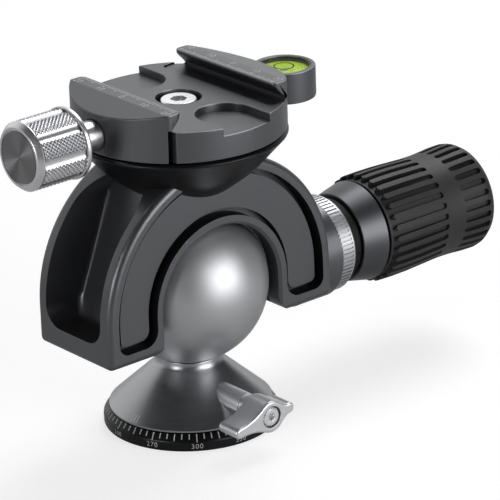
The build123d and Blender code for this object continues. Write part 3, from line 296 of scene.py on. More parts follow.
def rounded(piece, radius, keep, limit=28.0):
    """Round the sharp edges whose middles pass a test, to a radius in metres."""
    activate(piece)
    edit_all()
    bpy.ops.mesh.remove_doubles(threshold=WELD * MM)
    bpy.ops.mesh.dissolve_degenerate(threshold=WELD * MM)

    def sharp(middle, edge):
        turn = edge.calc_face_angle(0.0) if len(edge.link_faces) == 2 else 0.0
        return turn > radians(limit) and keep(middle)

    pick(piece, "EDGE", sharp)
    bpy.ops.mesh.bevel(offset=radius, segments=2, affect="EDGES", clamp_overlap=False)
    leave_edit()
    return shaded(piece, SMOOTH)


def shaded(piece, angle):
    """Shade a piece smooth up to an angle and keep its large faces flat."""
    activate(piece)
    bpy.ops.object.shade_smooth_by_angle(angle=radians(angle))
    return modified(piece, "WEIGHTED_NORMAL", keep_sharp=True, weight=50)


def copy_of(node, name):
    """Copy a CAD node's mesh into a new piece, merge it and dissolve what is flat in it."""
    piece = bpy.data.objects.new(name, NODES[node].data.copy())
    bpy.context.scene.collection.objects.link(piece)
    piece.data.name = name
    activate(piece)
    bpy.ops.mesh.customdata_custom_splitnormals_clear()
    edit_all()
    bpy.ops.mesh.remove_doubles(threshold=TOUCH * MM)
    bpy.ops.mesh.mark_sharp(clear=True)
    bpy.ops.mesh.dissolve_limited(angle_limit=radians(0.6))
    leave_edit()
    return piece


def settled(piece, node, finish, stands_in=True):
    """Finish a piece and let it ride with a CAD node, as a stand-in for it or as its trim."""
    piece.data.materials.clear()
    piece.data.materials.append(FINISHES[finish])
    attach(piece, BODY_OF[node])
    if stands_in:
        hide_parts(node)
    return piece


def numeral(text, height, place):
    """Write one number as a thin solid, with a height in metres, and set it down by a matrix."""
    activate(None)
    bpy.ops.object.text_add()
    writing = bpy.context.object
    writing.data.body = text
    writing.data.align_x = "CENTER"
    writing.data.align_y = "CENTER"
    writing.data.size = 1.0
    writing.data.offset = -0.008
    writing.data.resolution_u = 3
    writing.data.space_character = 1.08
    bpy.ops.object.convert(target="MESH")
    piece = bpy.context.object
    scale = height / piece.dimensions.y
    piece.matrix_world = place @ Matrix.Diagonal((scale, scale, scale, 1.0))
    bpy.ops.object.transform_apply(location=True, rotation=True, scale=True)
    edit_all()
    bpy.ops.mesh.remove_doubles(threshold=1e-7)
    lift = place.to_3x3() @ Vector((0, 0, INK_DEPTH * MM))
    bpy.ops.transform.translate(value=-lift)
    bpy.ops.mesh.extrude_region_move(TRANSFORM_OT_translate={"value": lift * 1.5})
    bpy.ops.mesh.select_all(action="SELECT")
    bpy.ops.mesh.normals_make_consistent(inside=False)
    leave_edit()
    return piece


INK_DEPTH = 0.04


def facing(across, up, origin):
    """Build the matrix of a plane from its reading direction, its up direction and its origin."""
    normal = across.cross(up)
    place = Matrix((across, up, normal)).transposed().to_4x4()
    place.translation = origin
    return place


def socket_screw(name, head, shank, hexagon, axis, centre, outward):
    """Model a cap screw with a chamfered head, a shank and a hexagon socket.

    head is its radius and both ends, shank its radius and tip, and hexagon the socket's
    corner radius and depth. outward is 1 where the head looks along the axis, or -1.
    """
    radius, seat, top = head
    bevel = 0.35 * outward
    outline = [
        (shank[1], 0), (shank[1], shank[0]), (seat, shank[0]), (seat, radius), (top - bevel, radius),
        (top, radius - 0.35), (top, 0)
    ]
    screw = turned(name, outline, axis, centre, steps=64)
    depth = top - hexagon[1] * outward
    ends = sorted((depth, top + outward))
    socket = rod("socket", hexagon[0], ends[0], ends[1], axis, centre, sides=6)
    return softened(cut(screw, socket), 0.07 * MM)


# ---------------------------------------------------------------- finishes


def linear(hex_value):
    """Turn an sRGB hex value into a linear colour."""
    channels = [(hex_value >> shift & 255) / 255 for shift in (16, 8, 0)]
    return tuple(c / 12.92 if c <= 0.04045 else ((c + 0.055) / 1.055) ** 2.4 for c in channels)


def add_node(tree, kind, settings=None, inputs=None, links=None):
    """Add one node to a tree with its settings, its input values and its links."""
    made = tree.nodes.new(kind)
    for key, value in (settings or {}).items():
        setattr(made, key, value)
    for key, value in (inputs or {}).items():
        made.inputs[key].default_value = value
    for key, (source, output) in (links or {}).items():
        tree.links.new(source.outputs[output], made.inputs[key])
    return made


def new_material(name):
    """Make a material with an empty node tree, and return both."""
    material = bpy.data.materials.new(name)
    material.use_nodes = True
    material.node_tree.nodes.clear()
    return material, material.node_tree


def grained(name, tint, roughness, grain, relief, tone=0.1, stretch=(1, 1, 1), **sockets):
    """Make a finish whose tone, gloss and surface vary by a grain of a size in millimetres."""
    material, tree = new_material(name)
    place = add_node(tree, "ShaderNodeTexCoord")
    mapping = add_node(
        tree, "ShaderNodeMapping", inputs={"Scale": stretch}, links={"Vector": (place, "Object")}
    )
    noise = add_node(
        tree, "ShaderNodeTexNoise", inputs={"Scale": 1 / (grain * MM), "Detail": 3.0, "Roughness": 0.6},
        links={"Vector": (mapping, "Vector")}
    )
    cloud = add_node(
        tree, "ShaderNodeTexNoise", inputs={"Scale": 1 / (14 * MM), "Detail": 2.0},
        links={"Vector": (place, "Object")}
    )
    blend = add_node(
        tree, "ShaderNodeMath", {"operation": "MULTIPLY_ADD"}, {1: 0.75, 2: 0.0}, {0: (noise, "Fac")}
    )
    share = add_node(
        tree, "ShaderNodeMath", {"operation": "MULTIPLY_ADD"}, {1: 0.25},
        {0: (cloud, "Fac"), 2: (blend, "Value")}
    )
    tint = Vector(tint)
    colour = add_node(
        tree, "ShaderNodeMix", {"data_type": "RGBA"},
        {6: (*(tint * (1 - tone)), 1.0), 7: (*(tint * (1 + tone)), 1.0)}, {0: (share, "Value")}
    )
    gloss = add_node(
        tree,
        "ShaderNodeMapRange",
        inputs={"From Min": 0.3, "From Max": 0.7, "To Min": roughness - 0.04, "To Max": roughness + 0.04},
        links={"Value": (noise, "Fac")},
    )
    bump = add_node(
        tree, "ShaderNodeBump", inputs={"Strength": 1.0, "Distance": relief * MM},
        links={"Height": (noise, "Fac")}
    )
    shader = add_node(
        tree, "ShaderNodeBsdfPrincipled", inputs=sockets,
        links={"Base Color": (colour, 2), "Roughness": (gloss, "Result"), "Normal": (bump, "Normal")}
    )
    add_node(tree, "ShaderNodeOutputMaterial", links={"Surface": (shader, "BSDF")})
    return material


def clear_finish(name, tint, roughness, **sockets):
    """Make a finish for a liquid, a lens or an ink, with faint clouds in its tone."""
    material, tree = new_material(name)
    place = add_node(tree, "ShaderNodeTexCoord")
    cloud = add_node(
        tree, "ShaderNodeTexNoise", inputs={"Scale": 1 / (3 * MM), "Detail": 2.0},
        links={"Vector": (place, "Object")}
    )
    tint = Vector(tint)
    colour = add_node(
        tree, "ShaderNodeMix", {"data_type": "RGBA"}, {6: (*(tint * 0.94), 1.0), 7: (*tint, 1.0)},
        {0: (cloud, "Fac")}
    )
    shader = add_node(
        tree, "ShaderNodeBsdfPrincipled", inputs={"Roughness": roughness, **sockets},
        links={"Base Color": (colour, 2)}
    )
    add_node(tree, "ShaderNodeOutputMaterial", links={"Surface": (shader, "BSDF")})
    return material


METAL = {"Metallic": 1.0}
# What each grained finish is, its colour in the panel, its roughness, the width and the height of
# its grain in millimetres, the spread of its tone, and what more its shader or its grain has
GRAINED = {
    # Sandblasted and anodised aluminium: a soft broad sheen with fine sparkle from the blasting,
    # whose 0.1 mm grit is drawn at 0.3 mm so that it shows
    "blasted_grey": (
        "sandblasted_anodised_aluminium_grey", "grey", 0.38, 0.3, 0.016, 0.2, {"Metallic": 0.9}
    ),
    # Turned and anodised aluminium: dark and smoother, with faint rings from the lathe
    "turned_black": (
        "turned_anodised_aluminium_black", "black", 0.34, 0.5, 0.005, 0.12,
        {"stretch": (0.05, 0.05, 1), "Metallic": 0.6},
    ),
    # Sandblasted and black-anodised aluminium: even, with a weak sheen
    "plain_black": (
        "sandblasted_anodised_aluminium_black", "black", 0.42, 0.3, 0.01, 0.12, {"Metallic": 0.5}
    ),
    # Bead-blasted and clear-anodised aluminium of the ball: satin, even in all directions
    "ball_satin": ("bead_blasted_aluminium_clear", "silver", 0.45, 0.28, 0.016, 0.12, METAL),
    # Clear-anodised turned aluminium of the cone: rings about Z, from a feed of about 0.1 mm
    # that is drawn at 0.35 mm so that it shows
    "cone_satin": (
        "turned_aluminium_clear_anodised", "cone", 0.33, 0.35, 0.006, 0.08,
        {"stretch": (0.04, 0.04, 1), **METAL},
    ),
    # Titanium-grey anodised collar, turned about X: darker, with faint rings
    "collar_satin": (
        "turned_aluminium_grey_anodised", "collar", 0.4, 0.3, 0.01, 0.12,
        {"stretch": (1, 0.3, 0.3), **METAL},
    ),
    # Bright anodised aluminium of the knurled knob: clean and sharp
    "bright": ("knurled_aluminium_bright_anodised", "bright", 0.33, 0.5, 0.0012, 0.05, METAL),
    # Clear-anodised aluminium with milled notches: a little duller
    "ridged": ("milled_aluminium_clear_anodised", "silver", 0.42, 0.5, 0.0012, 0.05, METAL),
    # Zinc casting, tumbled and satin-chromed: bright, with a slightly soft surface
    "cast_chrome": ("cast_zinc_satin_chromed", "lever", 0.4, 1.2, 0.001, 0.03, METAL),
    # Zinc-plated and polished steel of the screws: the sharpest highlights
    "steel": ("steel_zinc_plated", "steel", 0.28, 0.5, 0.0015, 0.05, METAL),
    # Black-oxide steel of the set screws in the saddle's side: dark, with an oily sheen
    "black_steel": ("steel_black_oxide", "case", 0.4, 0.4, 0.004, 0.1, {"Metallic": 0.7}),
    # Turned brass of the brake shoe: warm and yellow
    "brass": ("turned_brass", "brass", 0.3, 0.5, 0.004, 0.08, METAL),
    # Painted shade in the saddle's groove: a near-black that stands in for the groove's shadow. The sleeve
    # seen in the gap beside the collar gets the same: deep black and dull
    "groove_shade_and_sleeve_black": (
        "groove_shade_and_sleeve_black_matt", "lacquer", 0.6, 0.4, 0.01, 0.1, {"Specular IOR Level": 0.25}
    ),
    # Moulded rubber: dull, with a spark-eroded mould's texture of about 0.3 mm
    "rubber": ("moulded_rubber_black", "rubber", 0.55, 0.35, 0.012, 0.16, {}),
    "pad_rubber": ("moulded_rubber_pad", "rubber", 0.75, 0.6, 0.05, 0.2, {}),
    # Acetal of the slides and seats: smooth, slightly waxy
    "slide": ("machined_acetal_white", "slide", 0.4, 0.8, 0.006, 0.04, {}),
    # Moulded ABS of the level's case: black, with a low gloss
    "case": ("moulded_abs_black", "case", 0.35, 0.4, 0.005, 0.1, {}),
}
# What each smooth finish is, its colour in the panel, its roughness and what more its shader has
SMOOTH_FINISHES = {
    # Pigmented printing ink and laser-bleached anodising: matt and pale
    "ink": ("printed_ink_white", "ink", 0.6, {}),
    "engraving": ("laser_marked_anodising", "engraving", 0.7, {}),
    # Printing ink of the ring on the level: black and without a shine
    "ring_ink": ("printed_ink_black", "ring_ink", 0.6, {"Specular IOR Level": 0.1}),
    # Air bubble in the oil: a little darker than the liquid, with a soft shine
    "bubble": ("bubble_in_oil", "bubble", 0.2, {"Specular IOR Level": 0.3}),
    # Clear cast acrylic of the level's window: nearly all light goes through
    "lens": ("clear_cast_acrylic", "lens", 0.05, {"Alpha": 0.05, "IOR": 1.3}),
}
FINISHES = {}


def make_finishes(tints):
    """Make every finish of the head once, from the colours in the panel."""
    if FINISHES:
        return
    for key, (name, tint, roughness, grain, relief, tone, more) in GRAINED.items():
        colour = getattr(tints, tint)
        FINISHES[key] = grained(name, colour, roughness, grain, relief, tone, **more)
    for key, (name, tint, roughness, more) in SMOOTH_FINISHES.items():
        FINISHES[key] = clear_finish(name, getattr(tints, tint), roughness, **more)
    # Dyed oil of the level: a constant emission makes it glow brighter than its surroundings, painted light
    glow = {"Emission Color": (*tints.liquid, 1.0), "Emission Strength": 0.25}
    FINISHES["liquid"] = clear_finish(
        "dyed_level_liquid", tints.liquid, 0.2, **{"Specular IOR Level": 0.2}, **glow
    )
    FINISHES["dish"] = faced_dish(tints)


def ready(context):
    """Make the finishes if they aren't there yet, and return the sizes in the panel."""
    make_finishes(context.scene.ball_head_colours)
    return context.scene.ball_head_sizes


def faced_dish(tints):
    """Make the finish of a turned face: fine rings about X that stretch its highlight outwards."""
    material, tree = new_material("faced_aluminium_polished")
    place = add_node(tree, "ShaderNodeTexCoord")
    centred = add_node(
        tree, "ShaderNodeMapping", {"vector_type": "POINT"}, {"Location": (0, 0, -KNOB_Z * MM)},
        {"Vector": (place, "Object")}
    )
    # the tool's feed of 0.1 mm is drawn at 0.3 mm so that it shows
    rings = add_node(
        tree, "ShaderNodeTexWave", {"wave_type": "RINGS", "rings_direction": "X"},
        {"Scale": 1 / (0.3 * MM) / 20 * tau, "Distortion": 0.0}, {"Vector": (centred, "Vector")}
    )
    # the face's colour is held at about a third of the knob's bright aluminium: painted shade for the dark
    # it reflects, varied a little by the turned rings
    tone = add_node(
        tree, "ShaderNodeMix", {"data_type": "RGBA"},
        {6: (*(Vector(tints.bright) * 0.3), 1.0), 7: (*(Vector(tints.bright) * 0.38), 1.0)},
        {0: (rings, "Fac")}
    )
    bump = add_node(
        tree, "ShaderNodeBump", inputs={"Strength": 1.0, "Distance": 0.004 * MM},
        links={"Height": (rings, "Fac")}
    )
    around = add_node(tree, "ShaderNodeTangent", {"direction_type": "RADIAL", "axis": "X"})
    shader = add_node(
        tree, "ShaderNodeBsdfPrincipled",
        inputs={"Metallic": 1.0, "Roughness": 0.5, "Anisotropic": 0.85, "Anisotropic Rotation": 0.25},
        links={"Base Color": (tone, 2), "Normal": (bump, "Normal"), "Tangent": (around, "Tangent")}
    )
    add_node(tree, "ShaderNodeOutputMaterial", links={"Surface": (shader, "BSDF")})
    return material


# The finish of each material slot, for the CAD nodes that stay as they are
SLOT_FINISH = {
    "black_anodised": "plain_black", "grey_anodised": "blasted_grey", "satin_aluminium": "ball_satin",
    "bright_aluminium": "bright", "steel": "steel", "zinc_steel": "steel", "brass": "brass",
    "grip_rubber": "rubber", "pad_rubber": "pad_rubber", "slide_plastic": "slide",
    "case_plastic": "case", "level_liquid": "liquid", "bubble_air": "bubble", "lens_clear": "lens"
}


# ---------------------------------------------------------------- settings in the panel


def length(name, description, millimetres):
    """Describe a length that a user may change."""
    return bpy.props.FloatProperty(
        name=name, description=description, default=millimetres * MM, min=0.0, precision=5,
        unit="LENGTH"
    )


def tint_of(name, description, hex_value):
    """Describe a colour that a user may change."""
    return bpy.props.FloatVectorProperty(
        name=name, description=description, default=linear(hex_value), min=0.0, max=1.0, size=3,
        subtype="COLOR"
    )


class BallHeadSizes(bpy.types.PropertyGroup):
    """Sizes of the details that the solids leave out."""

    edge: length("Edge radius", "Rounding of the machined edges", 0.36)
    tick_width: length("Tick width", "Width of the ticks on the degree ring", 0.3)
    degree_height: length("Degree numbers", "Height of the numbers on the degree ring", 1.45)
    scale_height: length("Scale numbers", "Height of the numbers on the clamp's jaws", 2.0)
    knurl_pitch: length("Knurl pitch", "Width of one diamond of the clamp knob's knurl", 1.28)
    knurl_depth: length("Knurl depth", "Height of one diamond of the clamp knob's knurl", 0.42)
    ridge_depth: length("Ridge depth", "Depth of the tension ring's notches", 0.6)
    groove_width: length("Groove width", "Width of the grooves in the rubber grip", 1.75)
    groove_floor: length("Groove floor radius", "Radius on which the rubber's grooves end", 14.75)
    level_ring: length("Level ring radius", "Radius of the black ring on the level's lens", 2.8)
    grooves: bpy.props.IntProperty(
        name="Grooves", description="Grooves around the rubber grip", default=30, min=12, max=48
    )
    ridges: bpy.props.IntProperty(
        name="Ridges", description="Ridges around the tension ring", default=72, min=24, max=90
    )


class BallHeadColours(bpy.types.PropertyGroup):
    """Colours of the finishes."""

    grey: tint_of("Grey anodising", "Saddle and clamp", 0x646568)
    black: tint_of("Black anodising", "Degree ring and neck platform", 0x17181A)
    silver: tint_of("Silver", "Satin aluminium of the ball and the tension ring", 0xB9BABD)
    cone: tint_of("Cone", "Turned aluminium of the cone", 0xA2A3A6)
    collar: tint_of("Collar", "Grey turned aluminium of the collar", 0x58595C)
    bright: tint_of("Bright aluminium", "Clamp knob and its neck", 0xD6D6D9)
    lever: tint_of("Lever", "Chromed casting of the pan lever", 0xDCDDE0)
    steel: tint_of("Steel", "Plated screws", 0xF2F2F4)
    brass: tint_of("Brass", "Brake shoe", 0xB08D4A)
    rubber: tint_of("Rubber", "Side grip and base pad", 0x1F1F21)
    slide: tint_of("Slides", "Acetal seats and washers", 0xD9D8D2)
    case: tint_of("Level case", "Black case of the bubble level", 0x151516)
    ink: tint_of("Ink", "Numbers and ticks of the degree ring", 0xC4C5C7)
    engraving: tint_of("Laser marks", "Scales on the clamp's jaws", 0xD6D7DA)
    liquid: tint_of("Level liquid", "Dyed oil of the bubble level", 0xBFE424)
    bubble: tint_of("Bubble", "Bubble of the level", 0x7CB08C)
    lens: tint_of("Level window", "Clear window of the bubble level", 0xFFFFFF)
    # near-black that paints the shadow into the saddle's groove, also used on the sleeve
    lacquer: tint_of("Lacquer", "Dull black in the saddle's groove", 0x0B0B0C)
    ring_ink: tint_of("Level ring", "Black ring on the level's window", 0x0A0A0B)


# ---------------------------------------------------------------- foot


def slope_place(azimuth, top, bottom, share):
    """Build the matrix of a place on a cone, with its Y direction down the slope."""
    radial = Vector((cos(azimuth), sin(azimuth), 0))
    high = radial * top[0] + Vector((0, 0, top[1]))
    low = radial * bottom[0] + Vector((0, 0, bottom[1]))
    down = (low - high).normalized()
    across = Vector((sin(azimuth), -cos(azimuth), 0))
    middle = high + down * share
    return facing(across, down, middle * MM)


class BALLHEAD_OT_foot(bpy.types.Operator):
    """Model the degree ring with its ticks and numbers, and the thread insert"""

    bl_idname = "ball_head.foot"
    bl_label = "Foot and degree ring"

    def execute(self, context):
        sizes = ready(context)
        ring = turned(
            "degree_scale_ring",
            [(0.4, 22.0), (0.4, 25.0), RING_RIM[::-1], RING_TOP[::-1], (5.2, 22.0)], "Z", (0, 0, 0),
            steps=180
        )
        softened(ring, sizes.edge, limit=25)
        settled(ring, "degree_ring", "turned_black")

        # ticks of three lengths down the slope: each 5 degrees, each 15 and each 30
        ticks = []
        for first, count, size in ((5, 24, 1.55), (10, 24, 1.55), (15, 12, 2.0), (0, 12, 2.4)):
            azimuth = SCALE_ZERO + radians(first)
            place = slope_place(azimuth, RING_TOP, RING_RIM, 0.1 + size / 2)
            tick = bar("tick", (sizes.tick_width / MM, size, 0.06), place)
            ticks.append(ring_of(tick, count, "Z", (0, 0, 0)))
        marks = joined("degree_ticks", ticks)
        settled(marks, "degree_ring", "ink", False)

        numbers = []
        for value in range(0, 360, 30):
            text = str(value)
            for index, digit in enumerate(text):
                # each digit stands alone on the round band
                step = (index - (len(text) - 1) / 2) * DIGIT_STEP / RING_RIM[0]
                azimuth = SCALE_ZERO + radians(value) + step
                radial = Vector((cos(azimuth), sin(azimuth), 0))
                across = Vector((-sin(azimuth), cos(azimuth), 0))
                origin = radial * RING_RIM[0] + Vector((0, 0, 1.95))
                place = facing(across, UP, origin * MM)
                numbers.append(numeral(digit, sizes.degree_height, place))
        figures = joined("degree_numbers", numbers)
        settled(figures, "degree_ring", "ink", False)

        # the insert's bore with its thread: 16 to the inch, crest on the minor diameter
        pitch = 25.4 / 16
        thread = [(0.0, 7.6), (0.0, 4.5)]
        for turn in range(5):
            thread += [(0.25 + pitch * turn, 3.97), (0.25 + pitch * (turn + 0.5), 4.6)]
        thread += [(8.5, 4.0), (8.5, 5.3), (1.2, 5.3), (1.2, 7.6)]
        insert = turned("thread_insert_bore", thread, "Z", (0, 0, 0), steps=64)
        shaded(insert, 25)
        settled(insert, "thread_insert", "steel")
        return {"FINISHED"}


# ---------------------------------------------------------------- cone and pan lock


class BALLHEAD_OT_cone(bpy.types.Operator):
    """Model the turned cone with its index lines and the stub for the lever"""

    bl_idname = "ball_head.cone"
    bl_label = "Cone"

    def execute(self, context):
        sizes = ready(context)
        neck = []
        # the cone runs into the ball's neck on a soft curve
        for step in range(7):
            share = step / 6
            a = Vector(CONE_SHOULDER).lerp(Vector((9.25, 18.7)), share)
            b = Vector((9.25, 18.7)).lerp(Vector((9.2, 20.35)), share)
            radius, height = a.lerp(b, share)
            neck.append((height, radius))
        outline = (
            [(14.2, 7.8), (20.35, 7.8)] + neck[::-1] + [
                (CONE_LIP, CONE_RADIUS), (5.5, CONE_RADIUS), (5.5, 20.0), (6.45, 20.0), (6.45, 6.3),
                (14.2, 6.3)
            ]
        )
        cone = turned("turned_cone", outline, "Z", (0, 0, 0), steps=180)
        cut(cone, rod("bore", 3.6, -26.0, -12.0, "Y", (LEVER_X, 0, LEVER_Z)))
        softened(cone, sizes.edge * 0.8, limit=25)
        settled(cone, "cone_housing", "cone_satin")

        lines = []
        for azimuth in (-171.7, -174.2, -176.7):
            place = slope_place(
                radians(azimuth), CONE_SHOULDER, (CONE_RADIUS, CONE_LIP), 17.66 - 0.45 - 1.2
            )
            lines.append(bar("line", (0.26, 2.4, 0.06), place))
        index = joined("cone_index_lines", lines)
        settled(index, "cone_housing", "engraving", False)

        boss = turned(
            "lever_stub",
            [
                (-12.0, 2.05), (-12.0, 3.6), (-24.6, 3.6), (-24.6, 3.0), (-25.4, 3.0), (-25.4, 3.4),
                (-27.0, 3.4), (-27.0, 2.05)
            ],
            "Y", (LEVER_X, 0, LEVER_Z), steps=72
        )
        softened(boss, sizes.edge * 0.7)
        settled(boss, "lever_boss", "cast_chrome")
        return {"FINISHED"}


def arm(hub, tip, tip_radius):
    """Draw one side after the other of a waisted arm from a hub out to its round tip."""
    reach = Vector(tip)
    forward = reach.normalized()
    side = Vector((-forward.y, forward.x))
    points = []
    for sign in (1, -1):
        edge = []
        start = hub * (forward * cos(0.95) + side * sign * sin(0.95))
        waist = forward * (hub * 0.72 + reach.length * 0.28) + side * sign * tip_radius * 0.95
        end = reach + side * sign * tip_radius - forward * 0.2
        for step in range(9):
            share = step / 8
            edge.append(start.lerp(waist, share).lerp(waist.lerp(end, share), share))
        points.append(edge)
    lean = atan2(forward.y, forward.x)
    nose = [
        reach + tip_radius * Vector((cos(lean + turn), sin(lean + turn)))
        for turn in [pi / 2 - 0.25 - step * (pi - 0.5) / 8 for step in range(9)]
    ]
    return points[0] + nose + points[1][::-1]


HUB = 4.7  # radius of the lever's hub


class BALLHEAD_OT_lever(bpy.types.Operator):
    """Model the pan lever with its waisted arms and the cap screw in its hub"""

    bl_idname = "ball_head.lever"
    bl_label = "Pan lever"

    def execute(self, context):
        ready(context)
        right = arm(HUB, (6.6, 0.7), 1.6)
        left = arm(HUB, (-11.3, -1.6), 1.6)
        ends = (right[0], right[-1], left[0], left[-1])
        turn = [atan2(point.y, point.x) for point in ends]
        under = [turn[1] - (turn[1] - turn[2] + tau) % tau * step / 6 for step in range(1, 6)]
        over = [turn[3] - (turn[3] - turn[0]) % tau * step / 6 for step in range(1, 6)]
        outline = (
            right
            + [HUB * Vector((cos(a), sin(a))) for a in under]
            + left
            + [HUB * Vector((cos(a), sin(a))) for a in over]
        )
        lever = plate("waisted_pan_lever", outline, (LEVER_X, -27.4, LEVER_Z), RIGHT, UP, 8.2)
        softened(lever, 0.7 * MM, segments=4)
        well = rod("well", 3.2, -37.0, -32.6, "Y", (LEVER_X, 0, LEVER_Z))
        cut(lever, well)
        softened(lever, 0.12 * MM, limit=50)
        settled(lever, "pan_lever", "cast_chrome")

        screw = socket_screw(
            "lever_cap_screw", (2.8, -32.6, -35.4), (1.25, -24.5), (1.15, 2.4), "Y",
            (LEVER_X, 0, LEVER_Z), -1
        )
        settled(screw, "lever_screw", "steel")
        return {"FINISHED"}


# ---------------------------------------------------------------- ball


class BALLHEAD_OT_ball(bpy.types.Operator):
    """Model the fixed ball, flat at its foot"""

    bl_idname = "ball_head.ball"
    bl_label = "Ball"

    def execute(self, context):
        ready(context)
        activate(None)
        bpy.ops.mesh.primitive_uv_sphere_add(
            segments=160, ring_count=80, radius=BALL_RADIUS * MM, location=mm(0, 0, BALL_Z)
        )
        ball = added("satin_ball")
        edit_all()
        bpy.ops.mesh.bisect(
            plane_co=mm(0, 0, 20.65), plane_no=(0, 0, 1), clear_inner=True, use_fill=True
        )
        bpy.ops.mesh.inset(thickness=0.25 * MM)
        tidy_shell()
        leave_edit()
        shaded(ball, 30)
        settled(ball, "ball", "ball_satin")
        return {"FINISHED"}


# ---------------------------------------------------------------- saddle


def quarter(centre, radius, start, sweep, steps=8):
    """List the points of an arc, from a start angle through a sweep in degrees."""
    angles = [radians(start + sweep * k / steps) for k in range(steps + 1)]
    return [(centre[0] + radius * cos(a), centre[1] + radius * sin(a)) for a in angles]


def arch_outline(outer, inner, foot, outer_corner, inner_corner):
    """Draw a C over the ball with straight legs and rounded corners at their feet."""
    low_out, low_in = foot + outer_corner, foot + inner_corner
    return (
        quarter((outer - outer_corner, low_out), outer_corner, -90, 90)
        + quarter((0, BALL_Z), outer, 0, 180, 96)
        + quarter((-outer + outer_corner, low_out), outer_corner, 180, 90)
        + quarter((-inner - inner_corner, low_in), inner_corner, -90, 90)
        + quarter((0, BALL_Z), inner, 180, -180, 96)
        + quarter((inner + inner_corner, low_in), inner_corner, 180, 90)
    )


def arch_block(outline, back, front):
    """Pull an outline on the front plane from one place along Y to another."""
    return plate("arch", outline, (0, back, 0), RIGHT, UP, back - front)


def tip_tool(side):
    """Make the block that rounds the inner tip of a leg."""
    edge, foot, fillet = 20.8, 30.7, 4.6
    arc = quarter((edge + fillet, foot + fillet), fillet, 180, 90)
    outline = arc + [(edge + fillet, foot - 1), (edge - 1, foot - 1), (edge - 1, foot + fillet)]
    return arch_block([(side * x, z) for x, z in outline], 17.0, -17.0)


def boss_plug():
    """Make the plug over the set screw at the front, flush with the round boss."""
    activate(None)
    out = Vector((0, -sin(radians(60)), cos(radians(60))))
    bpy.ops.mesh.primitive_cylinder_add(
        vertices=48, radius=1.3 * MM, depth=3.0 * MM, location=mm(43.0, 0, GRIP_Z) + out * 15.9 * MM,
        rotation=(radians(60), 0, 0)
    )
    plug = added("plug")
    boss = rod("boss", 15.0, 40.0, 46.0, "X", (0, 0, GRIP_Z), sides=360)
    return combined(plug, boss, "INTERSECT")


def in_groove(middle, normal):
    """Tell the faces of the front groove, its floor and its walls, from the rest."""
    reach = sqrt(middle.x**2 + max(middle.z - BALL_Z, 0) ** 2)
    wall = abs(normal.y) < 0.2 and -15.9 < middle.y < -11.9
    floor = abs(middle.y + 11.8) < 0.05 and normal.y < -0.9
    return (wall or floor) and 23.2 < reach < 37.1 and middle.z > 34.2


PLATFORM_OUTLINE = [
    (71.6, 0.0), (71.6, 14.5), (75.8, 20.0), (79.0, 23.4), (86.5, 30.2), (87.0, 30.2), (87.6, 29.6),
    (87.6, 26.0), (88.0, 26.0), (88.0, 0.0)
]
POCKET_NORMAL = Vector((-0.926, 0.0, 0.378))
POCKET_FLOOR = Vector((0, 0, BALL_Z)) + POCKET_NORMAL * 26.0


class BALLHEAD_OT_saddle(bpy.types.Operator):
    """Model the saddle with its sunk front, the ring that closes it, its screws and the platform"""

    bl_idname = "ball_head.saddle"
    bl_label = "Saddle"

    def execute(self, context):
        sizes = ready(context)
        saddle = copy_of("saddle_frame", "broken_edge_saddle")
        activate(saddle)
        bpy.ops.object.mode_set(mode="EDIT")

        def on_pocket_floor(middle, edge):
            ends = [vertex.co / MM for vertex in edge.verts]
            flat = all(abs((end - POCKET_FLOOR).dot(POCKET_NORMAL)) < 0.03 for end in ends)
            return flat and middle.x < -8 and middle.z < 66 and abs(middle.y) < 12.3

        # the pocket's floor runs into its walls on a wide fillet
        pick(saddle, "EDGE", on_pocket_floor)
        bpy.ops.mesh.bevel(offset=1.5 * MM, segments=4, affect="EDGES")
        leave_edit()
        for side in (-1, 1):
            cut(saddle, tip_tool(side))
        # the front's recess is closed and sunk again with rounded corners and a deep groove
        filled(saddle, arch_block(arch_outline(37.5, 22.8, 33.8, 0.5, 0.5), -13.0, -16.4))
        cut(saddle, arch_block(arch_outline(36.9, 23.4, 34.4, 3.2, 4.4), -11.8, -17.0))
        filled(saddle, arch_block(arch_outline(35.1, 25.2, 36.2, 1.6, 2.7), -11.4, -14.6))
        cut(saddle, turned("seat", PLATFORM_OUTLINE, "Z", (0, 0, 0), steps=180))
        filled(saddle, boss_plug())
        softened(saddle, sizes.edge * 0.8, limit=28)
        settled(saddle, "saddle_frame", "blasted_grey")
        # the groove's floor and walls get the near-black finish, painted shade in place of the groove's
        # shadow
        saddle.data.materials.append(FINISHES["groove_shade_and_sleeve_black"])
        activate(saddle)
        bpy.ops.object.mode_set(mode="EDIT")
        pick(saddle, "FACE", in_groove)
        saddle.active_material_index = 1
        bpy.ops.object.material_slot_assign()
        leave_edit()

        closing = copy_of("seat_retainer", "closing_ring")
        for side in (-1, 1):
            cut(closing, tip_tool(side))
        softened(closing, sizes.edge * 0.8, limit=28)
        settled(closing, "seat_retainer", "plain_black")

        screws = []
        for angle in (-105.0, -30.0, 30.0, 105.0):
            x, z = 26.9 * sin(radians(angle)), BALL_Z + 26.9 * cos(radians(angle))
            screws.append(
                socket_screw("screw", (2.25, 13.9, 16.1), (1.25, 9.0), (1.15, 1.3), "Y", (x, 0, z), 1)
            )
        heads = joined("closing_screws", screws)
        settled(heads, "retainer_screws", "steel")

        platform = turned("turned_neck_platform", PLATFORM_OUTLINE, "Z", (0, 0, 0), steps=180)
        softened(platform, sizes.edge * 0.6, limit=28)
        settled(platform, "neck_platform", "turned_black")
        return {"FINISHED"}


# ---------------------------------------------------------------- side grip


RIDGE_TOP = 14.4  # radius on which the tension ring's ridges end


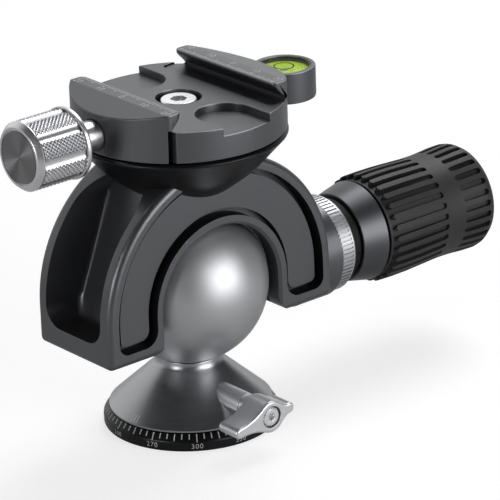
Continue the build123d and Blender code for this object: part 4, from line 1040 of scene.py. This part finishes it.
class BALLHEAD_OT_tension(bpy.types.Operator):
    """Model the notched tension ring and the collar beside it"""

    bl_idname = "ball_head.tension"
    bl_label = "Tension ring and collar"

    def execute(self, context):
        sizes = ready(context)
        axis = (0, 0, GRIP_Z)
        ring = turned(
            "notched_tension_ring",
            [
                (46.15, 10.45), (46.15, 13.95), (46.5, RIDGE_TOP), (50.6, RIDGE_TOP), (50.7, 13.95),
                (51.3, 13.95), (52.05, 13.3), (52.05, 10.45)
            ],
            "X", axis, steps=3 * sizes.ridges
        )
        floor = RIDGE_TOP - sizes.ridge_depth / MM
        notch = bar("notch", (4.75, 0.52, 1.2), Matrix.Translation(mm(48.3, 0, GRIP_Z + floor + 0.6)))
        cut(ring, ring_of(notch, sizes.ridges, "X", axis))
        shaded(ring, 30)
        settled(ring, "tension_ring", "ridged")

        collar = turned(
            "turned_collar",
            [
                (57.9, 4.0), (56.4, 4.0), (56.4, 9.0), (55.5, 9.0), (55.5, 13.2), (63.8, 15.0),
                (63.8, 11.5), (57.9, 11.5)
            ],
            "X", axis, steps=144
        )
        softened(collar, 0.3 * MM, segments=3)
        settled(collar, "grip_collar", "collar_satin")
        return {"FINISHED"}


def slot_outline(start, end, half, flare):
    """Draw a groove's outline along the grip, round at its far end and flared or round here."""
    points = []
    if flare:
        points += [(start - 1.4, -half - flare), (start, -half - flare)]
        points += [
            (start + flare * sin(turn), -half - flare * cos(turn))
            for turn in [pi / 2 * step / 5 for step in range(1, 6)]
        ]
    else:
        points += [
            (start + half - half * sin(turn), -half * cos(turn))
            for turn in [pi / 2 - pi / 2 * step / 5 for step in range(6)]
        ]
    points += [
        (end - half + half * sin(turn), -half * cos(turn))
        for turn in [pi / 2 * step / 5 for step in range(6)]
    ]
    mirrored = [(x, -y) for x, y in reversed(points) if abs(y) > 1e-9]
    return points + mirrored


class BALLHEAD_OT_grip(bpy.types.Operator):
    """Model the grooved rubber of the side grip and the screw in its end"""

    bl_idname = "ball_head.grip"
    bl_label = "Rubber grip"

    def execute(self, context):
        sizes = ready(context)
        axis = (0, 0, GRIP_Z)
        rubber = turned(
            "grooved_rubber_grip",
            [
                (64.8, 11.5), (64.8, 14.6), (65.1, 14.7), (65.9, 14.7), (65.9, 15.75), (66.3, 16.1),
                (70.0, 16.2), (76.0, 16.15), (84.0, 15.8), (88.0, 15.6), (91.5, 15.6), (95.0, 15.75),
                (100.0, 16.1), (102.6, 16.15), (104.0, 15.9), (105.2, 15.2), (106.0, 14.2),
                (106.3, 13.2), (106.3, 11.4), (105.9, 10.6), (104.0, 10.6), (104.0, 11.5)
            ],
            "X", axis, steps=4 * sizes.grooves
        )
        half = sizes.groove_width / MM / 2
        rib = tau * 14.7 / sizes.grooves / 2 - half
        floor = sizes.groove_floor / MM
        for start, end, flare in ((66.2, 86.8, rib * 0.65), (93.4, 103.4, 0.0)):
            outline = slot_outline(start, end, half, flare)
            groove = plate("groove", outline, (0, 0, GRIP_Z + floor), RIGHT, BACK, 2.0)
            ring_of(groove, sizes.grooves, "X", axis)
            edit_all()
            bpy.ops.transform.rotate(value=radians(3.0), orient_axis="X", center_override=mm(*axis))
            leave_edit()
            cut(rubber, groove)
        softened(rubber, 0.3 * MM, segments=3, limit=38)
        settled(rubber, "rubber_grip", "rubber")

        screw = socket_screw(
            "end_cap_screw", (3.6, 104.6, 105.9), (2.0, 96.0), (1.45, 1.2), "X", axis, 1
        )
        settled(screw, "end_screw", "steel")
        return {"FINISHED"}


# ---------------------------------------------------------------- clamp


def end_tool(side, end, fillet):
    """Make the block that rounds the inner corner at one end of a jaw."""
    centre = Vector((side * (JAW_EDGE + fillet), end * (JAW_END - fillet)))
    outline = [
        centre + fillet * Vector((-side * cos(pi / 2 * k / 7), end * sin(pi / 2 * k / 7)))
        for k in range(8)
    ]
    outline += [(side * (JAW_EDGE + fillet), end * 22.6), (side * 15.4, end * 22.6)]
    outline += [(side * 15.4, end * (JAW_END - fillet))]
    return plate("corner", outline, (0, 0, 97.0), RIGHT, BACK, 5.5)


# The radius and the two ends of each bore in the jaw, for the knob's neck, screw and ring
JAW_BORES = ((4.45, -32.0, -28.3), (3.15, -28.4, -20.0), (5.2, -22.75, -20.0))


def jaw_block():
    """Make the moving jaw: its section pulled along Y, trimmed round and bored."""
    section = [
        (-JAW_EDGE, 100.9), (-JAW_EDGE, JAW_TOP), (-21.2, JAW_TOP), (-31.0, 99.3), (-31.0, 88.0),
        (-20.95, 88.0), (-20.95, 97.2), (-19.9, 97.2)
    ]
    jaw = plate("broken_edge_jaw", section, (0, JAW_END, 0), RIGHT, UP, 2 * JAW_END)
    rim = rod("rim", 30.0, 86.0, 104.0, "Z", (0, 0, 0), sides=360)
    combined(jaw, rim, "INTERSECT")
    for radius, start, end in JAW_BORES:
        cut(jaw, rod("bore", radius, start, end, "X", (0, 0, KNOB_Z), sides=64))
    return jaw


def gutter_tool():
    """Make the fine gutter along the deck's relief, with its two rounded corners."""
    outer = [(19.0, -23.8), (15.2, -23.8)]
    outer += quarter((15.2, -21.8), 2.0, -90, -90)
    outer += quarter((15.2, 21.8), 2.0, 180, -90)
    outer += [(19.0, 23.8)]
    inner = [(x + 0.32 if x < 19.0 else x, y - 0.32 * (1 if y > 0 else -1)) for x, y in outer]
    return plate("gutter", outer + inner[::-1], (0, 0, 95.9), RIGHT, BACK, 1.5)


def pocket_tool(side):
    """Make the block that sinks a deck pocket, open to the rim."""
    arc = quarter((0.5, 19.4), 8.18, 180, 180, 32)
    outline = [(x, side * y) for x, y in [(-7.68, 31.0)] + arc + [(8.68, 31.0)]]
    return plate("pocket", outline, (0, 0, 94.7), RIGHT, BACK, 4.0)


def on_outline(middle):
    """Tell the clamp's outer edges from those of its bores and its gutter."""
    return middle.z > 96.5 or sqrt(middle.x**2 + middle.y**2) > 29.2


class BALLHEAD_OT_clamp(bpy.types.Operator):
    """Round the edges of the clamp and its jaw, and model the scales and the middle screw"""

    bl_idname = "ball_head.clamp"
    bl_label = "Clamp"

    def execute(self, context):
        sizes = ready(context)
        for node, name in (("clamp_body", "broken_edge_clamp"), ("moving_jaw", "broken_edge_jaw")):
            side = 1 if node == "clamp_body" else -1
            piece = copy_of(node, name) if side > 0 else jaw_block()
            tools = [end_tool(side, end, 1.9) for end in (-1, 1)]
            if side > 0:
                tools += [pocket_tool(end) for end in (-1, 1)] + [gutter_tool()]
            cut(piece, joined("tools", tools))
            rounded(piece, sizes.edge, on_outline)
            settled(piece, node, "blasted_grey")

        for side, node, name in ((1, "clamp_body", "fixed"), (-1, "moving_jaw", "moving")):
            marks = []
            for y in range(-20, 21):
                size = 1.5 if y % 5 else 2.0
                place = Matrix.Translation(mm(side * (16.45 + size / 2), y, JAW_TOP))
                marks.append(bar("mark", (size, 0.3, 0.05), place))
            ticks = joined(f"{name}_jaw_ticks", marks)
            settled(ticks, node, "engraving", False)
            figures = []
            for y, text in ((20, "20"), (10, "10"), (0, "0"), (-10, "10"), (-20, "20")):
                origin = mm(side * 19.85, y * 0.96, JAW_TOP)
                place = facing(-BACK, RIGHT, origin)
                figures.append(numeral(text, sizes.scale_height, place))
            numbers = joined(f"{name}_jaw_numbers", figures)
            settled(numbers, node, "engraving", False)

        screw = socket_screw(
            "clamp_socket_screw", (5.15, 93.3, 96.3), (3.0, 67.6), (2.45, 3.6), "Z", (0, 0, 0), 1
        )
        settled(screw, "mount_screw", "steel")
        return {"FINISHED"}


KNOB_RADIUS = 9.7  # middle radius of the knurl


class BALLHEAD_OT_knob(bpy.types.Operator):
    """Model the knurled clamp knob, its turned end dish and its neck"""

    bl_idname = "ball_head.knob"
    bl_label = "Clamp knob"

    def execute(self, context):
        sizes = ready(context)
        axis = (0, 0, KNOB_Z)
        base = 9.88 * MM - sizes.knurl_depth
        sides = round(tau * KNOB_RADIUS * MM / sizes.knurl_pitch)
        first, last = -53.2, -39.45
        rows = round((last - first) * MM / sizes.knurl_pitch)
        activate(None)
        bpy.ops.mesh.primitive_circle_add(
            vertices=sides, radius=base, location=mm(first, 0, KNOB_Z), rotation=(0, pi / 2, 0)
        )
        knurl = added("knurled_clamp_knob")
        edit_all()
        for _ in range(rows):
            step = Vector(((last - first) / rows, 0, 0)) * MM
            bpy.ops.mesh.extrude_edges_move(TRANSFORM_OT_translate={"value": step})
        bpy.ops.mesh.select_all(action="SELECT")
        bpy.ops.mesh.normals_make_consistent(inside=False)
        # squares become diamonds: each gets a middle, and then its own sides are dissolved
        bpy.ops.mesh.poke()
        near_side = 0.51 * (last - first) / rows

        def is_side(middle, edge):
            along = abs(edge.verts[0].co.x - edge.verts[1].co.x) / MM
            return (along < 0.01 or along > near_side * 1.5) and len(edge.link_faces) == 2

        pick(knurl, "EDGE", is_side)
        bpy.ops.mesh.dissolve_edges(use_verts=False)
        bpy.ops.mesh.select_all(action="SELECT")
        bpy.ops.mesh.poke(offset=sizes.knurl_depth)
        # close both ends, the near one over a chamfer
        for end, inset, push in ((first, 0.75, -0.4), (last, 0.3, 0.0)):
            pick(knurl, "VERT", lambda co, _: abs(co.x - end) < 0.01)
            bpy.ops.mesh.edge_face_add()
            bpy.ops.mesh.select_mode(type="FACE")
            bpy.ops.mesh.extrude_region_move(
                TRANSFORM_OT_translate={"value": Vector((push, 0, 0)) * MM}
            )
            share = 1 - inset / KNOB_RADIUS
            bpy.ops.transform.resize(value=(1, share, share), center_override=mm(end + push, 0, KNOB_Z))
        tidy_shell()
        leave_edit()
        reach, lean = 12.2, radians(-2.0)
        scallop = turned(
            "scallop", [(-54.6, 0.0), (-54.6, 3.0), (-39.5, 3.0), (-39.5, 0.0)], "X",
            (0, -reach * cos(lean), KNOB_Z + reach * sin(lean)), steps=96
        )
        cut(knurl, ring_of(scallop, 8, "X", axis))
        shaded(knurl, 25)
        flange = turned(
            "flange", [(-39.5, 0.0), (-39.5, 10.2), (-38.3, 10.2), (-37.8, 9.7), (-37.8, 0.0)], "X",
            axis
        )
        softened(flange, sizes.edge * 0.8)
        knob = joined("knurled_clamp_knob", [knurl, flange])
        settled(knob, "clamp_knob", "bright")

        cap = turned(
            "faced_knob_cap",
            [
                (-53.6, 0.0), (-53.6, 9.7), (-53.9, 9.75), (-55.15, 8.75), (-55.35, 8.45), (-55.4, 8.1),
                (-55.3, 7.8), (-55.0, 7.7), (-55.0, 7.5), (-55.0, 0.0)
            ],
            "X", axis, steps=144
        )
        shaded(cap, 30)
        settled(cap, "knob_cap", "bright")
        dish = turned(
            "faced_knob_dish",
            [(-54.9, 0.0), (-54.9, 7.45), (-55.3, 7.35), (-55.2, 7.15), (-55.1, 4.0), (-55.05, 0.0)],
            "X", axis, steps=144
        )
        shaded(dish, 20)
        settled(dish, "knob_cap", "dish", False)

        neck = turned(
            "turned_knob_neck", [(-37.8, 2.5), (-37.8, 4.3), (-28.45, 4.3), (-28.45, 2.5)], "X", axis,
            steps=72
        )
        softened(neck, 0.4 * MM, segments=3)
        settled(neck, "knob_neck", "bright")
        return {"FINISHED"}


class BALLHEAD_OT_level(bpy.types.Operator):
    """Model the bubble level's case, lens, ring and bubble"""

    bl_idname = "ball_head.level"
    bl_label = "Bubble level"

    def execute(self, context):
        sizes = ready(context)
        axis = (LEVEL_X, 0, 0)
        case = turned(
            "level_cup",
            [(89.2, 0.0), (89.2, 7.6), (96.6, 7.6), (96.6, 7.15), (90.0, 7.15), (90.0, 0.0)], "Z", axis,
            steps=96
        )
        softened(case, 0.1 * MM)
        settled(case, "level_case", "case")
        lens = turned(
            "level_window",
            [(95.3, 0.0), (95.3, 7.15), (96.0, 7.15), (96.2, 6.9), (96.3, 4.0), (96.3, 0.0)], "Z", axis,
            steps=96
        )
        shaded(lens, 35)
        settled(lens, "level_lens", "lens")
        radius = sizes.level_ring / MM
        mark = turned(
            "level_ring_mark",
            [(96.27, radius - 0.18), (96.27, radius + 0.18), (96.33, radius + 0.18), (96.33, radius - 0.18)],
            "Z",
            axis,
            steps=72,
        )
        shaded(mark, 35)
        settled(mark, "level_lens", "ring_ink", False)

        activate(None)
        middle = mm(LEVEL_X - 0.3, -0.35, 94.97)
        bpy.ops.mesh.primitive_uv_sphere_add(segments=48, ring_count=24, radius=MM, location=middle)
        bubble = added("flat_air_bubble")
        edit_all()
        bpy.ops.transform.resize(value=(1.45, 1.45, 0.36), center_override=middle)
        leave_edit()
        shaded(bubble, 60)
        settled(bubble, "level_bubble", "bubble")
        return {"FINISHED"}


# ---------------------------------------------------------------- finishes of the CAD nodes


class BALLHEAD_OT_finishes(bpy.types.Operator):
    """Give the CAD nodes that stay as they are the finish of their material slot"""

    bl_idname = "ball_head.finishes"
    bl_label = "Finishes of the inner pieces"

    def execute(self, context):
        ready(context)
        for node in NODES.values():
            for slot in node.material_slots:
                name = slot.material.name.split(".")[0]
                if node is NODES["sleeve_screws"]:
                    slot.material = FINISHES["black_steel"]
                # the sleeve, seen in the gap beside the collar, gets the same near-black as the groove's
                # painted shade
                elif node is NODES["grip_sleeve"]:
                    slot.material = FINISHES["groove_shade_and_sleeve_black"]
                elif name in SLOT_FINISH:
                    slot.material = FINISHES[SLOT_FINISH[name]]
                elif slot.material not in FINISHES.values():
                    raise RuntimeError(f"no finish for the slot {name}")
        return {"FINISHED"}


# ---------------------------------------------------------------- stage


HEAD_MIDDLE = Vector((0.01, 0.0, 0.05))
# The camera's heading, elevation and roll in degrees, its lens, and what it looks at in millimetres
VIEW = (39.47, 21.77, -1.97)
LENS = 261.2
DISTANCE = 1017.7
TARGET_REACH, TARGET_Z = 18.27, 50.5


def lamp(name, place, size, power):
    """Hang a soft square lamp at a place in metres and aim it at the head."""
    activate(None)
    bpy.ops.object.light_add(type="AREA", location=place)
    light = bpy.context.object
    light.name = name
    light.data.shape = "SQUARE"
    light.data.size = size
    light.data.energy = power
    light.rotation_euler = (HEAD_MIDDLE - Vector(place)).to_track_quat("-Z", "Y").to_euler()


class BALLHEAD_OT_stage(bpy.types.Operator):
    """Lay the floor and set up the lamps, the world and the camera"""

    bl_idname = "ball_head.stage"
    bl_label = "Stage"

    def execute(self, context):
        activate(None)
        bpy.ops.mesh.primitive_plane_add(size=0.1)
        floor = added("floor")
        edit_all()
        bpy.ops.transform.resize(value=(60, 60, 1), center_override=(0, 0, 0))
        bpy.ops.mesh.subdivide(number_cuts=4)
        leave_edit()
        floor.data.materials.append(floor_finish())

        lamp("soft box before the head", (0.38, -1.22, 0.28), 1.0, 14.0)
        lamp("soft box over the head", (0.75, 0.3, 1.15), 0.7, 9.0)
        lamp("soft box at the left", (-1.15, -0.12, 0.36), 0.4, 4.0)

        world = bpy.data.worlds.new("studio")
        context.scene.world = world
        world.use_nodes = True
        tree = world.node_tree
        tree.nodes.clear()
        path = add_node(tree, "ShaderNodeLightPath")
        direction = add_node(tree, "ShaderNodeTexCoord")
        # the white backdrop stands behind the object, and the room before it is darker
        behind = add_node(
            tree, "ShaderNodeVectorMath", {"operation": "DOT_PRODUCT"}, {1: (0.3, 0.9, -0.3)},
            {0: (direction, "Generated")}
        )
        backdrop = add_node(
            tree, "ShaderNodeMapRange", {"interpolation_type": "SMOOTHSTEP"},
            {"From Min": -0.1, "From Max": 0.6, "To Min": 0.0, "To Max": 0.95},
            {"Value": (behind, "Value")}
        )
        mirrored = add_node(
            tree, "ShaderNodeMath", {"operation": "MULTIPLY"},
            links={0: (path, "Is Glossy Ray"), 1: (backdrop, "Result")}
        )
        seen = add_node(
            tree, "ShaderNodeMath", {"operation": "MAXIMUM"},
            links={0: (path, "Is Camera Ray"), 1: (path, "Is Transmission Ray")}
        )
        shown = add_node(
            tree, "ShaderNodeMath", {"operation": "MAXIMUM"},
            links={0: (seen, "Value"), 1: (mirrored, "Value")}
        )
        light = add_node(
            tree, "ShaderNodeBackground", inputs={"Color": (1.0, 1.0, 1.0, 1.0), "Strength": 0.055}
        )
        white = add_node(
            tree, "ShaderNodeBackground", inputs={"Color": (1.0, 1.0, 1.0, 1.0), "Strength": 1.0}
        )
        mix = add_node(
            tree, "ShaderNodeMixShader",
            links={0: (shown, "Value"), 1: (light, "Background"), 2: (white, "Background")}
        )
        add_node(tree, "ShaderNodeOutputWorld", links={"Surface": (mix, "Shader")})

        heading, elevation, roll = (radians(angle) for angle in VIEW)
        back = Vector((-sin(heading) * cos(elevation), -cos(heading) * cos(elevation), sin(elevation)))
        right = Vector((cos(heading), -sin(heading), 0))
        up = back.cross(right)
        x = right * cos(roll) + up * sin(roll)
        y = up * cos(roll) - right * sin(roll)
        target = mm(TARGET_REACH * cos(heading), -TARGET_REACH * sin(heading), TARGET_Z)
        bpy.ops.object.camera_add()
        camera = context.object
        camera.name = "camera"
        camera.data.lens = LENS
        camera.data.sensor_width = 36.0
        camera.data.clip_start = 0.05
        camera.data.clip_end = 20.0
        place = Matrix((x, y, back)).transposed().to_4x4()
        place.translation = target + back * DISTANCE * MM
        camera.matrix_world = place
        context.scene.camera = camera
        context.scene.view_settings.view_transform = "Standard"
        return {"FINISHED"}


def floor_finish():
    """Make the finish of the floor: matt white paper that also shows white in metal."""
    material, tree = new_material("matt_paper_white")
    path = add_node(tree, "ShaderNodeLightPath")
    seen = add_node(
        tree, "ShaderNodeMath", {"operation": "MAXIMUM"},
        links={0: (path, "Is Camera Ray"), 1: (path, "Is Transmission Ray")}
    )
    shown = add_node(
        tree, "ShaderNodeMath", {"operation": "MULTIPLY_ADD"}, {1: 0.28},
        {0: (path, "Is Glossy Ray"), 2: (seen, "Value")}
    )
    paper = add_node(
        tree, "ShaderNodeBsdfPrincipled", inputs={"Base Color": (0.4, 0.4, 0.4, 1.0), "Roughness": 0.8}
    )
    glow = add_node(
        tree, "ShaderNodeEmission", inputs={"Color": (1.0, 1.0, 1.0, 1.0), "Strength": 0.72}
    )
    both = add_node(tree, "ShaderNodeAddShader", links={0: (paper, "BSDF"), 1: (glow, "Emission")})
    mix = add_node(
        tree, "ShaderNodeMixShader",
        links={0: (shown, "Value"), 1: (paper, "BSDF"), 2: (both, "Shader")}
    )
    add_node(tree, "ShaderNodeOutputMaterial", links={"Surface": (mix, "Shader")})
    return material


# ---------------------------------------------------------------- panel and registration


class BALLHEAD_PT_panel(bpy.types.Panel):
    """List the settings of the ball head and the operators that build it"""

    bl_idname = "BALLHEAD_PT_panel"
    bl_label = "Ball head"
    bl_space_type = "VIEW_3D"
    bl_region_type = "UI"
    bl_category = "Ball head"

    def draw(self, context):
        for group in (context.scene.ball_head_sizes, context.scene.ball_head_colours):
            box = self.layout.box()
            for name in group.__annotations__:
                box.prop(group, name)
        for operator in OPERATORS:
            self.layout.operator(operator.bl_idname)


OPERATORS = (
    BALLHEAD_OT_foot, BALLHEAD_OT_cone, BALLHEAD_OT_lever, BALLHEAD_OT_ball, BALLHEAD_OT_saddle,
    BALLHEAD_OT_tension, BALLHEAD_OT_grip, BALLHEAD_OT_clamp, BALLHEAD_OT_knob, BALLHEAD_OT_level,
    BALLHEAD_OT_finishes, BALLHEAD_OT_stage
)
CLASSES = (BallHeadSizes, BallHeadColours, *OPERATORS, BALLHEAD_PT_panel)


def register():
    """Register the classes and hang the settings on the scene."""
    for cls in CLASSES:
        bpy.utils.register_class(cls)
    bpy.types.Scene.ball_head_sizes = bpy.props.PointerProperty(type=BallHeadSizes)
    bpy.types.Scene.ball_head_colours = bpy.props.PointerProperty(type=BallHeadColours)


def unregister():
    """Take the settings off the scene and unregister the classes."""
    del bpy.types.Scene.ball_head_colours
    del bpy.types.Scene.ball_head_sizes
    for cls in reversed(CLASSES):
        bpy.utils.unregister_class(cls)


def main():
    """Build every piece in order."""
    register()
    bpy.ops.ball_head.foot()
    bpy.ops.ball_head.cone()
    bpy.ops.ball_head.lever()
    bpy.ops.ball_head.ball()
    bpy.ops.ball_head.saddle()
    bpy.ops.ball_head.tension()
    bpy.ops.ball_head.grip()
    bpy.ops.ball_head.clamp()
    bpy.ops.ball_head.knob()
    bpy.ops.ball_head.level()
    bpy.ops.ball_head.finishes()
    bpy.ops.ball_head.stage()


if __name__ == "__main__":
    main()
